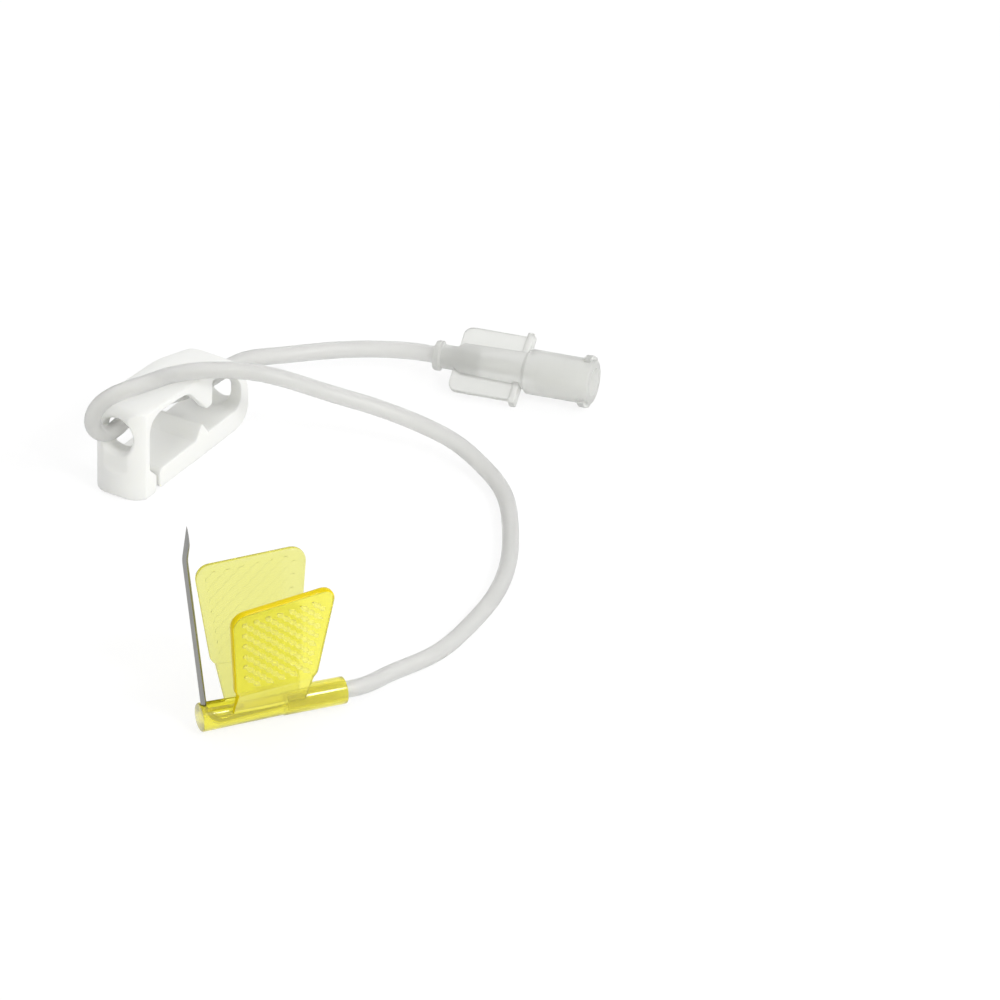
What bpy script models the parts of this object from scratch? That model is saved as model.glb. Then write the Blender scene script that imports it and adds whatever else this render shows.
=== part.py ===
# Winged non-coring infusion needle set, laid out as it comes to rest on a table:
# a bent cannula in a moulded winged hub, an extension tube, a pinch clamp that the
# tube runs through, and a winged conical connector at the tube's far end.
# Metres, +Z up, the table at z = 0.

import math

import bmesh
import bpy
import numpy as np
from mathutils import Matrix, Vector

MM = 0.001

# Fits
BOND_GAP = 0.2 * MM  # adhesive film round the tube's ends in their sockets
CANNULA_GAP = 0.15 * MM  # adhesive film round the cannula in the hub
BUTT_GAP = 0.3 * MM  # between the tube's end faces and the bottoms of their sockets
SPARE = 1.0 * MM  # cutters run this far past what they cut

# Cannula, 20 gauge
CANNULA_DIAMETER = 0.9 * MM
CANNULA_BORE = 0.6 * MM
CANNULA_FROM_END = 0.65 * MM  # its axis at the top of the hub, from the hub's end face
CANNULA_LEAN = math.radians(6.6)  # past the perpendicular, away from the hub
CANNULA_BEND = 2.8 * MM  # centreline radius of the bend inside the hub
CANNULA_DROP = 0.65 * MM  # its leg lies this far under the hub's axis at the bend
CANNULA_LEG_SLOPE = math.radians(2.5)
CANNULA_LEG_END = 12.85 * MM  # the leg's inner end, from the hub's end face
SHAFT_LENGTH = 25.2 * MM  # straight, from the bend to the turned tip
TIP_TURN = math.radians(14)  # the tip is turned back, so that it cores nothing
TIP_RADIUS = 6.0 * MM
TIP_POINT = 4.9 * MM  # from the end of that turn to the point
TIP_SPARE = 1.5 * MM  # ground away past the point
CANNULA_SIDES = 4  # bevel resolution of its curve

# Hub, one moulding
HUB_LENGTH = 22.75 * MM
HUB_RADIUS = 2.2 * MM  # at the needle end
HUB_NECK_RADIUS = 1.95 * MM
SLEEVE_RADIUS = 2.08 * MM  # over the tube
SLEEVE_START = 12.65 * MM
SLEEVE_STEP = 0.3 * MM
HUB_EDGE = 0.25 * MM
SOCKET_START = 13.35 * MM  # bottom of the tube's socket, from the end face
SLOT_WIDTH = 1.9 * MM  # where the bent cannula is laid in from above
SLOT_START = 1.0 * MM
SLOT_END = 6.45 * MM
SLOT_DEPTH = 1.0 * MM

# Wings
WING_CENTRE = 10.3 * MM  # along the hub, from its end face
PAD_TOP_WIDTH = 17.5 * MM
PAD_BOTTOM_WIDTH = 13.4 * MM
PAD_HEIGHT = 16.5 * MM  # at its middle
PAD_THICKNESS = 1.2 * MM
PAD_CORNER = 2.2 * MM
PAD_FOOT_CORNER = 1.8 * MM
PAD_RIM = 0.3 * MM
PAD_LEAN = math.radians(9.5)
PAD_SLANT = math.radians(3.4)  # its top edge rises towards the tube
NEAR_PAD_TURN = math.radians(6.3)  # both pads' ends by the needle are turned outwards
FAR_PAD_TURN = math.radians(4.1)
PAD_FOOT_SIDE = 4.2 * MM  # how far out of the hub's middle a pad's foot is
PAD_FOOT_HEIGHT = 7.65 * MM
WEB_TOP_WIDTH = 12.2 * MM
WEB_FOOT_WIDTH = 11.2 * MM
WEB_THICKNESS = 0.6 * MM  # thin enough to fold
WEB_FOOT_SIDE = 1.45 * MM
WEB_FOOT_HEIGHT = 2.6 * MM
WEB_LAP = 0.7 * MM  # the web runs this far up into the pad
WEB_STEPS = 6  # facets up the web, which twists between the hub and the pad
GRIP_PITCH = 1.48 * MM
GRIP_ROW = 1.37 * MM
GRIP_LONG = 1.2 * MM
GRIP_WIDE = 0.9 * MM
GRIP_HEIGHT = 0.28 * MM
GRIP_TWIST = math.radians(42)
GRIP_MARGIN = 1.6 * MM
GRIP_SPARE = 8  # rows and columns tried past the pad's size

# Extension tube
TUBE_DIAMETER = 2.5 * MM
TUBE_STEPS = 78
RUN_OUT = 2.0 * MM  # it leaves its sockets straight

# Pinch clamp, one moulding: an upper arm with the latch wall at one end, a living
# hinge at the other, and a lower arm that lies on the table. Distances along it are
# from the two corners of the latch wall, which bulges outwards between them.
CLAMP_WIDTH = 8.6 * MM
CLAMP_LENGTH = 27.4 * MM
CLAMP_HEIGHT = 15.1 * MM
CLAMP_WALL = 1.15 * MM  # inner face of the latch wall
WALL_BULGE = 1.8 * MM
FOOT_BULGE = 2.1 * MM
FOOT_CORNER = 1.0 * MM
ARM_THICKNESS = 1.35 * MM
ARM_CORNER = 1.6 * MM
ARM_MIDDLE = 15.5 * MM
ARM_MIDDLE_DROP = 1.15 * MM  # the arm's top is this far under the clamp's there
ARM_SWEEP = 20 * MM  # radius of the arm's bow
SHOULDER = 24.0 * MM  # where the upper arm turns into the hinge
SHOULDER_DROP = 3.7 * MM
SHOULDER_RADIUS = 2.0 * MM
HINGE_THICKNESS = 2.0 * MM
HINGE_MIDDLE = 6.2 * MM  # height at which the hinge reaches farthest out
HINGE_FOOT_RADIUS = 5.0 * MM
LOWER_ARM = 3.3 * MM
LATCH_LENGTH = 3.0 * MM
LATCH_HEIGHT = 4.5 * MM
LATCH_SLOPE = 1.8 * MM  # the latch's top falls this far inwards
ARM_TIP_GAP = 0.7 * MM  # from the latch to the lower arm's free tip
RIDGE_AT = 15.1 * MM
RIDGE_BASE = 3.4 * MM
RIDGE_HEIGHT = 5.6 * MM
GUARD_THICKNESS = 1.4 * MM
GUARD_START = 8.6 * MM
GUARD_SLOPE = 3.6 * MM
GUARD_BEND = 0.6 * MM  # its front edge bends down this far under the arm
GUARD_TIP = 18.9 * MM
GUARD_TIP_LENGTH = 1.5 * MM
GUARD_HEIGHT = 6.9 * MM  # of its tip above the table
LATCH_HOLE_RADIUS = 2.8 * MM
LATCH_HOLE_DROP = 4.8 * MM  # its centre, from the clamp's top
LATCH_HOLE_RIM = 0.6 * MM
HINGE_HOLE_RADIUS = 2.4 * MM
HINGE_HOLE_LOW = 4.2 * MM
HINGE_HOLE_DROP = 1.8 * MM  # its top, from the shoulder
CLAMP_EDGE = 0.25 * MM
WALL_STEPS = 14  # facets along the bulging wall
CORNER = 0.3 * MM  # small corners in its profile

# Connector, one moulding with a 6% conical bore
CONNECTOR_LENGTH = 24.5 * MM
FLANGE_RADIUS = 2.25 * MM
FLANGE_THICKNESS = 0.9 * MM
THROAT_RADIUS = 1.8 * MM
BODY_START = 3.2 * MM
BODY_STEP = 1.0 * MM
BODY_RADIUS = 2.45 * MM
BARREL_START = 13.6 * MM
BARREL_RADIUS = 3.35 * MM
BARREL_STEP = 1.0 * MM
CONNECTOR_EDGE = 0.25 * MM
TUBE_SOCKET = 7.0 * MM
LUMEN_RADIUS = 0.8 * MM
CONE_MOUTH_RADIUS = 2.15 * MM
CONE_DEPTH = 8.5 * MM
CONE_TAPER = 0.06  # on diameter
LUG_RADIUS = 3.9 * MM
LUG_THICKNESS = 1.0 * MM
LUG_SPAN = math.radians(70)
LUG_LAP = 0.4 * MM  # sunk into the barrel
FIN_START = 3.2 * MM
FIN_LENGTH = 10.7 * MM
FIN_REACH = 5.35 * MM  # from the axis to a fin's edge
FIN_THICKNESS = 1.0 * MM
FIN_CORNER = 1.4 * MM
FIN_LIP = 1.1 * MM  # the thicker end of a fin
FIN_LIP_PROUD = 0.5 * MM  # it reaches this far past the fin's edge
FIN_LIP_THICKNESS = 1.9 * MM
FIN_LIP_CORNER = 0.3 * MM
LIP_REACH = FIN_REACH + FIN_LIP_PROUD
# It lies on its lugs and on the lower corner of one fin's lip.
FIN_TILT = math.asin(
    LUG_RADIUS / math.hypot(LIP_REACH, FIN_LIP_THICKNESS / 2)
) - math.atan2(FIN_LIP_THICKNESS / 2, LIP_REACH)

# Where the pieces lie, on the table
HUB_X = -44.204 * MM
HUB_Y = -65.788 * MM
HUB_TURN = math.radians(20.5)
CLAMP_X = -52.08 * MM
CLAMP_Y = 0.02 * MM
CLAMP_TURN = math.radians(56.5)
CONNECTOR_X = -9.4 * MM
CONNECTOR_Y = 34.95 * MM
CONNECTOR_TURN = math.radians(-18.8)

# The tube's route between the two sockets, over the clamp's top, round in front of
# its latch wall and back through it
ROUTE = [
    (-16.4, -52.0, 1.4),
    (-10.1, -46.7, 1.35),
    (-5.0, -39.0, 1.35),
    (-1.0, -30.1, 1.35),
    (1.3, -19.2, 1.35),
    (1.5, -9.2, 1.35),
    (0.2, 0.7, 1.5),
    (-2.7, 6.7, 2.0),
    (-6.7, 11.1, 3.3),
    (-11.8, 13.4, 5.0),
    (-19.3, 14.2, 7.8),
    (-24.9, 14.1, 9.8),
    (-30.6, 14.3, 11.8),
    (-35.1, 13.8, 13.4),
    (-40.0, 12.1, 15.0),
    (-45.3, 9.4, 16.4),
    (-48.3, 5.9, 17.9),
    (-49.9, 1.5, 20.0),
    (-53.1, -2.3, 21.0),
    (-56.4, -3.4, 20.3),
    (-59.1, -3.2, 17.9),
    (-59.9, -2.3, 14.7),
    (-59.0, -0.7, 12.1),
    (-57.1, 1.8, 10.7),
    (-55.4, 4.4, 10.8),
    (-52.2, 9.5, 10.6),
    (-45.6, 17.6, 8.5),
    (-39.9, 26.6, 6.8),
    (-37.2, 30.0, 6.1),
    (-32.9, 32.9, 5.0),
    (-24.9, 35.4, 4.4),
    (-17.5, 36.4, 4.0),
]


def plastic(name, colour, roughness, alpha=1.0):
    material = bpy.data.materials.new(name)
    material.use_nodes = True
    shader = material.node_tree.nodes["Principled BSDF"]
    shader.inputs["Base Color"].default_value = (*colour, 1.0)
    shader.inputs["Roughness"].default_value = roughness
    shader.inputs["Alpha"].default_value = alpha
    return material


def steel(name, colour, roughness):
    material = plastic(name, colour, roughness)
    material.node_tree.nodes["Principled BSDF"].inputs["Metallic"].default_value = 1.0
    return material


def place(name, data, parent, material=None):
    piece = bpy.data.objects.new(name, data)
    bpy.context.scene.collection.objects.link(piece)
    piece.parent = parent
    if material:
        data.materials.append(material)
    return piece


def frame(name, location=(0, 0, 0), turn=0.0, parent=None):
    """An empty that carries the pieces built in its own axes."""
    empty = place(name, None, parent)
    empty.location = location
    empty.rotation_euler = (0, 0, turn)
    return empty


def mesh_from(bm, name):
    bmesh.ops.recalc_face_normals(bm, faces=bm.faces)
    mesh = bpy.data.meshes.new(name)
    bm.to_mesh(mesh)
    bm.free()
    return mesh


def shade_round(piece):
    piece.data.shade_smooth()
    piece.data.set_sharp_from_angle(angle=math.radians(35))


def boolean(piece, other, operation):
    """Joins or cuts with a helper, which is drawn as wire and left out of the part."""
    other.hide_render = True
    other.display_type = "WIRE"
    modifier = piece.modifiers.new(other.name, "BOOLEAN")
    modifier.operation = operation
    modifier.solver = "EXACT"
    modifier.object = other


def rounded(corners, steps=5):
    """A closed outline through corners (x, y, radius), each turned into an arc."""
    points = []
    for i, (x, y, radius) in enumerate(corners):
        here = Vector((x, y))
        before = Vector(corners[i - 1][:2]) - here
        after = Vector(corners[(i + 1) % len(corners)][:2]) - here
        bend = before.angle(after)
        if radius <= 0 or bend > math.radians(179):
            points.append(here)
            continue
        back = radius / math.tan(bend / 2)
        back = min(back, 0.49 * before.length, 0.49 * after.length)
        radius = back * math.tan(bend / 2)
        middle = here + (before.normalized() + after.normalized()).normalized() * (
            radius / math.sin(bend / 2)
        )
        start = here + before.normalized() * back - middle
        turn = (here + after.normalized() * back - middle).angle_signed(start)
        for step in range(steps + 1):
            points.append(middle + Matrix.Rotation(turn * step / steps, 2) @ start)
    return points


def prism(name, outline, low, high, parent, rim=0.0, rim_steps=2):
    """An outline in the x-z plane, drawn out along y from low to high."""
    bm = bmesh.new()
    face = bm.faces.new([bm.verts.new((p.x, low, p.y)) for p in outline])
    drawn = bmesh.ops.extrude_face_region(bm, geom=[face])["geom"]
    moved = [v for v in drawn if isinstance(v, bmesh.types.BMVert)]
    bmesh.ops.translate(bm, verts=moved, vec=(0, high - low, 0))
    if rim:
        edges = [e for e in bm.edges if abs(e.verts[0].co.y - e.verts[1].co.y) < 1e-9]
        bmesh.ops.bevel(
            bm, geom=edges, offset=rim, segments=rim_steps, profile=0.5, affect="EDGES"
        )
    return place(name, mesh_from(bm, name), parent)


def turned(name, profile, parent, sides=32):
    """A profile of (x, radius) points, from the axis and back to it, turned about x."""
    bm = bmesh.new()
    verts = [bm.verts.new((x, 0, radius)) for x, radius in profile]
    edges = [bm.edges.new(pair) for pair in zip(verts, verts[1:])]
    bmesh.ops.spin(
        bm,
        geom=verts + edges,
        cent=(0, 0, 0),
        axis=(1, 0, 0),
        angle=2 * math.pi,
        steps=sides,
    )
    bmesh.ops.remove_doubles(bm, verts=bm.verts, dist=0.0001 * MM)
    return place(name, mesh_from(bm, name), parent)


def block(name, low, high, parent):
    bm = bmesh.new()
    bmesh.ops.create_cube(bm, size=1.0)
    low, high = Vector(low), Vector(high)
    bmesh.ops.scale(bm, vec=high - low, verts=bm.verts)
    bmesh.ops.translate(bm, vec=(low + high) / 2, verts=bm.verts)
    return place(name, mesh_from(bm, name), parent)


def tube_curve(name, points, radius, resolution):
    """A round bar along the points, as a curve with filled ends."""
    curve = bpy.data.curves.new(name, "CURVE")
    curve.dimensions = "3D"
    curve.bevel_depth = radius
    curve.bevel_resolution = resolution
    curve.use_fill_caps = True
    spline = curve.splines.new("POLY")
    spline.points.add(len(points) - 1)
    for point, co in zip(spline.points, points):
        point.co = (*co, 1.0)
    return curve


def swept(name, points, radius, parent, resolution=CANNULA_SIDES):
    """The same bar as a closed mesh, for joining and cutting."""
    curve = tube_curve(name, points, radius, resolution)
    bar = place(name + "_line", curve, None)
    graph = bpy.context.evaluated_depsgraph_get()
    mesh = bpy.data.meshes.new_from_object(bar.evaluated_get(graph))
    bpy.data.objects.remove(bar)
    bpy.data.curves.remove(curve)
    bm = bmesh.new()
    bm.from_mesh(mesh)
    bpy.data.meshes.remove(mesh)
    bmesh.ops.remove_doubles(bm, verts=bm.verts, dist=0.0001 * MM)
    return place(name, mesh_from(bm, name), parent)


def arc_points(start, heading, radius, turn, steps):
    """Points after start on an arc in the x-z plane, turning clockwise by turn."""
    centre = start + radius * Vector(
        (math.cos(heading - math.pi / 2), 0, math.sin(heading - math.pi / 2))
    )
    found = []
    for step in range(1, steps + 1):
        angle = heading - turn * step / steps - math.pi / 2
        found.append(centre - radius * Vector((math.cos(angle), 0, math.sin(angle))))
    return found


def smooth_route(stops, count):
    """That many points, evenly spaced along the natural cubic spline through the stops."""
    stops = np.array(stops, float)
    gaps = np.linalg.norm(np.diff(stops, axis=0), axis=1)
    along = np.concatenate([[0], np.cumsum(gaps)])
    size = len(stops)
    left = np.eye(size)
    right = np.zeros((size, 3))
    for i in range(1, size - 1):
        left[i, i - 1 : i + 2] = (gaps[i - 1], 2 * (gaps[i - 1] + gaps[i]), gaps[i])
        rise = (stops[i + 1] - stops[i]) / gaps[i]
        right[i] = 6 * (rise - (stops[i] - stops[i - 1]) / gaps[i - 1])
    curl = np.linalg.solve(left, right)

    def at(s):
        i = min(int(np.searchsorted(along, s, side="right")) - 1, size - 2)
        h, a, b = gaps[i], along[i + 1] - s, s - along[i]
        return (
            (curl[i] * a**3 + curl[i + 1] * b**3) / (6 * h)
            + (stops[i] / h - curl[i] * h / 6) * a
            + (stops[i + 1] / h - curl[i + 1] * h / 6) * b
        )

    fine = np.array([at(s) for s in np.linspace(0, along[-1], 40 * size)])
    run = np.linalg.norm(np.diff(fine, axis=0), axis=1)
    run = np.concatenate([[0], np.cumsum(run)])
    marks = np.linspace(0, run[-1], count)
    return np.stack([np.interp(marks, run, fine[:, k]) for k in range(3)], axis=1)


def cannula_line():
    """The cannula's centreline in the hub's axes, from its inner end to past its point,
    and the point itself with the direction of the shaft."""
    heading = math.pi + CANNULA_LEG_SLOPE
    upright = math.pi / 2 + CANNULA_LEAN
    turn = heading - upright
    bend_height = HUB_RADIUS - CANNULA_DROP
    bend_rise = CANNULA_BEND * (
        math.cos(CANNULA_LEG_SLOPE) - math.sin(CANNULA_LEAN)
    )
    bend_run = CANNULA_BEND * (math.sin(CANNULA_LEG_SLOPE) + math.cos(CANNULA_LEAN))
    under_top = 2 * HUB_RADIUS - bend_height - bend_rise
    bend_start = CANNULA_FROM_END + under_top * math.tan(CANNULA_LEAN) + bend_run
    leg = CANNULA_LEG_END - bend_start
    points = [
        Vector((CANNULA_LEG_END, 0, bend_height + leg * math.tan(CANNULA_LEG_SLOPE))),
        Vector((bend_start, 0, bend_height)),
    ]
    points += arc_points(points[-1], heading, CANNULA_BEND, turn, 9)
    shaft = Vector((math.cos(upright), 0, math.sin(upright)))
    points.append(points[-1] + SHAFT_LENGTH * shaft)
    points += arc_points(points[-1], upright, TIP_RADIUS, TIP_TURN, 4)
    tip_heading = upright - TIP_TURN
    tip = Vector((math.cos(tip_heading), 0, math.sin(tip_heading)))
    back = Vector((-tip.z, 0, tip.x))
    point = points[-1] + TIP_POINT * tip + CANNULA_DIAMETER / 2 * back
    points.append(points[-1] + (TIP_POINT + TIP_SPARE) * tip)
    return points, point, shaft


def make_cannula(hub_frame, material):
    points, point, shaft = cannula_line()
    cannula = swept("cannula", points, CANNULA_DIAMETER / 2, hub_frame)
    cannula.data.materials.append(material)
    run_out = (points[0] - points[1]).normalized() * CANNULA_DIAMETER
    bore = swept(
        "cannula_bore", [points[0] + run_out, *points[1:]], CANNULA_BORE / 2, hub_frame
    )
    boolean(cannula, bore, "DIFFERENCE")
    # The point is ground flat, parallel to the shaft, so that it opens sideways.
    reach = TIP_POINT + 2 * TIP_SPARE
    grinder = block(
        "cannula_grinder", (0, -reach, -reach), (2 * reach, reach, reach), hub_frame
    )
    grinder.location = point
    grinder.rotation_euler = (0, -CANNULA_LEAN, 0)
    boolean(cannula, grinder, "DIFFERENCE")
    shade_round(cannula)
    return cannula


def pad_outline():
    top, foot = PAD_TOP_WIDTH / 2, PAD_BOTTOM_WIDTH / 2
    slant = top * math.tan(PAD_SLANT)
    return rounded(
        [
            (-foot, 0, PAD_FOOT_CORNER),
            (foot, 0, PAD_FOOT_CORNER),
            (top, PAD_HEIGHT + slant, PAD_CORNER),
            (-top, PAD_HEIGHT - slant, PAD_CORNER),
        ]
    )


def web_mesh(name, side, turn, parent):
    """The folding web, a strip that twists from the hub's flank to the pad's foot."""
    lean = Matrix.Rotation(-side * PAD_LEAN, 3, "X")
    turned_pad = Matrix.Rotation(turn, 3, "Z")
    foot = Vector((WING_CENTRE, side * WEB_FOOT_SIDE, WEB_FOOT_HEIGHT))
    top = Vector((WING_CENTRE, side * PAD_FOOT_SIDE, PAD_FOOT_HEIGHT))
    top += turned_pad @ lean @ Vector((0, 0, WEB_LAP))
    up = (top - foot).normalized()
    bm = bmesh.new()
    rings = []
    for step in range(WEB_STEPS + 1):
        share = step / WEB_STEPS
        along = Matrix.Rotation(turn * share, 3, "Z") @ Vector((1, 0, 0))
        half = (WEB_FOOT_WIDTH * (1 - share) + WEB_TOP_WIDTH * share) / 2
        out = up.cross(along).normalized() * WEB_THICKNESS / 2
        middle = foot.lerp(top, share)
        corners = (
            middle - half * along - out,
            middle + half * along - out,
            middle + half * along + out,
            middle - half * along + out,
        )
        rings.append([bm.verts.new(corner) for corner in corners])
    bm.faces.new(rings[0])
    bm.faces.new(rings[-1])
    for below, above in zip(rings, rings[1:]):
        for a, b, c, d in zip(below, below[1:] + below[:1], above[1:] + above[:1], above):
            bm.faces.new((a, b, c))
            bm.faces.new((a, c, d))
    return place(name, mesh_from(bm, name), parent)


def grip_studs(name, parent, side):
    """Rows of low four-sided studs over a pad's outer face, each sunk into the pad."""
    bm = bmesh.new()
    rows = int(PAD_HEIGHT / GRIP_ROW) + GRIP_SPARE
    columns = int(PAD_TOP_WIDTH / GRIP_PITCH) + GRIP_SPARE
    twist = Matrix.Rotation(GRIP_TWIST, 2)
    middle = Vector((0, PAD_HEIGHT / 2))
    for row in range(-rows, rows + 1):
        for column in range(-columns, columns + 1):
            at = middle + twist @ Vector((column * GRIP_PITCH, row * GRIP_ROW))
            share = at.y / PAD_HEIGHT
            half = (PAD_BOTTOM_WIDTH + (PAD_TOP_WIDTH - PAD_BOTTOM_WIDTH) * share) / 2
            if abs(at.x) > half - GRIP_MARGIN:
                continue
            top = PAD_HEIGHT + side * at.x * math.tan(PAD_SLANT)
            if not GRIP_MARGIN < at.y < top - GRIP_MARGIN:
                continue
            corners = [
                (GRIP_LONG / 2, 0),
                (0, GRIP_WIDE / 2),
                (-GRIP_LONG / 2, 0),
                (0, -GRIP_WIDE / 2),
            ]
            low = PAD_THICKNESS / 2 - GRIP_HEIGHT / 2
            high = PAD_THICKNESS / 2 + GRIP_HEIGHT
            ring = []
            for corner in corners:
                spot = at + twist @ Vector(corner)
                ring.append(bm.verts.new((spot.x, low, spot.y)))
            peak = bm.verts.new((at.x, high, at.y))
            bm.faces.new(ring)
            for a, b in zip(ring, ring[1:] + ring[:1]):
                bm.faces.new((a, b, peak))
    return place(name, mesh_from(bm, name), parent)


def add_wing(hub, hub_frame, side, turn, name):
    """One wing: a folding web out of the hub's flank, and the studded pad on it."""
    web = web_mesh(name + "_web", side, turn, hub_frame)
    pad = prism(
        name + "_pad",
        pad_outline(),
        -PAD_THICKNESS / 2,
        PAD_THICKNESS / 2,
        hub_frame,
        PAD_RIM,
    )
    studs = grip_studs(name + "_studs", hub_frame, side)
    for helper in (pad, studs):
        helper.location = (WING_CENTRE, side * PAD_FOOT_SIDE, PAD_FOOT_HEIGHT)
    pad.rotation_euler = (-side * PAD_LEAN, 0, turn)
    studs.rotation_euler = (-PAD_LEAN, 0, turn if side > 0 else turn + math.pi)
    for helper in (web, pad, studs):
        boolean(hub, helper, "UNION")


def make_hub(hub_frame, material):
    profile = [
        (0, 0),
        (0, HUB_RADIUS - HUB_EDGE),
        (HUB_EDGE * 0.3, HUB_RADIUS - HUB_EDGE * 0.3),
        (HUB_EDGE, HUB_RADIUS),
        (SLEEVE_START, HUB_NECK_RADIUS),
        (SLEEVE_START + SLEEVE_STEP, SLEEVE_RADIUS),
        (HUB_LENGTH - HUB_EDGE, SLEEVE_RADIUS),
        (HUB_LENGTH, SLEEVE_RADIUS - HUB_EDGE),
        (HUB_LENGTH, 0),
    ]
    hub = turned("winged_hub", profile, hub_frame)
    hub.data.materials.append(material)
    hub.location.z = HUB_RADIUS
    add_wing(hub, hub_frame, 1, -FAR_PAD_TURN, "far_wing")
    add_wing(hub, hub_frame, -1, NEAR_PAD_TURN, "near_wing")
    socket_radius = TUBE_DIAMETER / 2 + BOND_GAP
    socket = turned(
        "tube_socket",
        [
            (SOCKET_START, 0),
            (SOCKET_START, socket_radius),
            (HUB_LENGTH + SPARE, socket_radius),
            (HUB_LENGTH + SPARE, 0),
        ],
        hub_frame,
        24,
    )
    socket.location.z = HUB_RADIUS
    points = cannula_line()[0]
    run_out = (points[0] - points[1]).normalized() * CANNULA_DIAMETER
    channel = swept(
        "cannula_channel",
        [points[0] + run_out, *points[1:13]],
        CANNULA_DIAMETER / 2 + CANNULA_GAP,
        hub_frame,
    )
    slot = prism(
        "cannula_slot",
        rounded(
            [
                (SLOT_START, 2 * HUB_RADIUS - SLOT_DEPTH, 0),
                (SLOT_END, 2 * HUB_RADIUS - SLOT_DEPTH, 0),
                (SLOT_END, 2 * HUB_RADIUS + SPARE, 0),
                (SLOT_START, 2 * HUB_RADIUS + SPARE, 0),
            ]
        ),
        -SLOT_WIDTH / 2,
        SLOT_WIDTH / 2,
        hub_frame,
    )
    for cutter in (socket, channel, slot):
        boolean(hub, cutter, "DIFFERENCE")
    shade_round(hub)
    return hub


def arm_top(x):
    """Height of the upper arm's top, whose line bends at the middle and the shoulder."""
    line_x = (-WALL_BULGE, ARM_MIDDLE, SHOULDER + ARM_THICKNESS / 2)
    drops = (0, ARM_MIDDLE_DROP, SHOULDER_DROP)
    return CLAMP_HEIGHT - float(np.interp(x, line_x, drops))


def clamp_outline():
    """The clamp's side profile: along its length, and height."""
    length, height = CLAMP_LENGTH, CLAMP_HEIGHT
    inner_end = length - HINGE_THICKNESS
    arm = ARM_THICKNESS
    middle, shoulder = height - ARM_MIDDLE_DROP, height - SHOULDER_DROP
    tip = LATCH_LENGTH + ARM_TIP_GAP
    return rounded(
        [
            (-FOOT_BULGE, 0, FOOT_CORNER),
            (LATCH_LENGTH, 0, CORNER),
            (LATCH_LENGTH, LATCH_HEIGHT - LATCH_SLOPE, CORNER),
            (CLAMP_WALL, LATCH_HEIGHT, CORNER),
            (CLAMP_WALL, height - arm, 2 * ARM_CORNER),
            (ARM_MIDDLE, middle - arm, ARM_SWEEP),
            (SHOULDER - arm / 2, shoulder - arm, SHOULDER_RADIUS),
            (inner_end, HINGE_MIDDLE + arm / 2, SHOULDER_RADIUS),
            (inner_end, LOWER_ARM, HINGE_FOOT_RADIUS / 2),
            (RIDGE_AT + RIDGE_BASE / 2, LOWER_ARM, CORNER),
            (RIDGE_AT, RIDGE_HEIGHT, CORNER),
            (RIDGE_AT - RIDGE_BASE / 2, LOWER_ARM, CORNER),
            (tip, LOWER_ARM, FOOT_CORNER),
            (tip, 0, FOOT_CORNER),
            (length, 0, HINGE_FOOT_RADIUS),
            (length, HINGE_MIDDLE, HINGE_FOOT_RADIUS),
            (SHOULDER + arm / 2, shoulder, SHOULDER_RADIUS),
            (ARM_MIDDLE, middle, ARM_SWEEP),
            (-WALL_BULGE, height, ARM_CORNER),
            (-WALL_BULGE, LATCH_HEIGHT + CORNER, CORNER),
            (-FOOT_BULGE, LATCH_HEIGHT - CORNER, CORNER),
        ]
    )


def clamp_plan():
    """The clamp from above: straight sides, and an arc for the bulging latch wall."""
    half = CLAMP_WIDTH / 2
    radius = (half**2 + FOOT_BULGE**2) / (2 * FOOT_BULGE)
    spread = math.asin(half / radius)
    middle = Vector((radius - FOOT_BULGE, half))
    points = [Vector((CLAMP_LENGTH + SPARE, -SPARE)), Vector((0, -SPARE))]
    for step in range(WALL_STEPS + 1):
        angle = spread * (2 * step / WALL_STEPS - 1)
        points.append(middle - radius * Vector((math.cos(angle), -math.sin(angle))))
    points.append(Vector((0, CLAMP_WIDTH + SPARE)))
    points.append(Vector((CLAMP_LENGTH + SPARE, CLAMP_WIDTH + SPARE)))
    return points


def guard_outline():
    """A guard that hangs from the arm's edge beside the tube; its top is in the arm."""
    bend = GUARD_START + GUARD_SLOPE
    inside = ARM_THICKNESS / 2
    return rounded(
        [
            (GUARD_START, arm_top(GUARD_START) - inside, 0),
            (bend, arm_top(bend) - ARM_THICKNESS - GUARD_BEND, GUARD_SLOPE / 2),
            (GUARD_TIP - GUARD_TIP_LENGTH, GUARD_HEIGHT, CORNER),
            (GUARD_TIP, GUARD_HEIGHT, CORNER),
            (GUARD_TIP + CORNER, arm_top(GUARD_TIP + CORNER) - inside, 0),
        ]
    )


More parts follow.
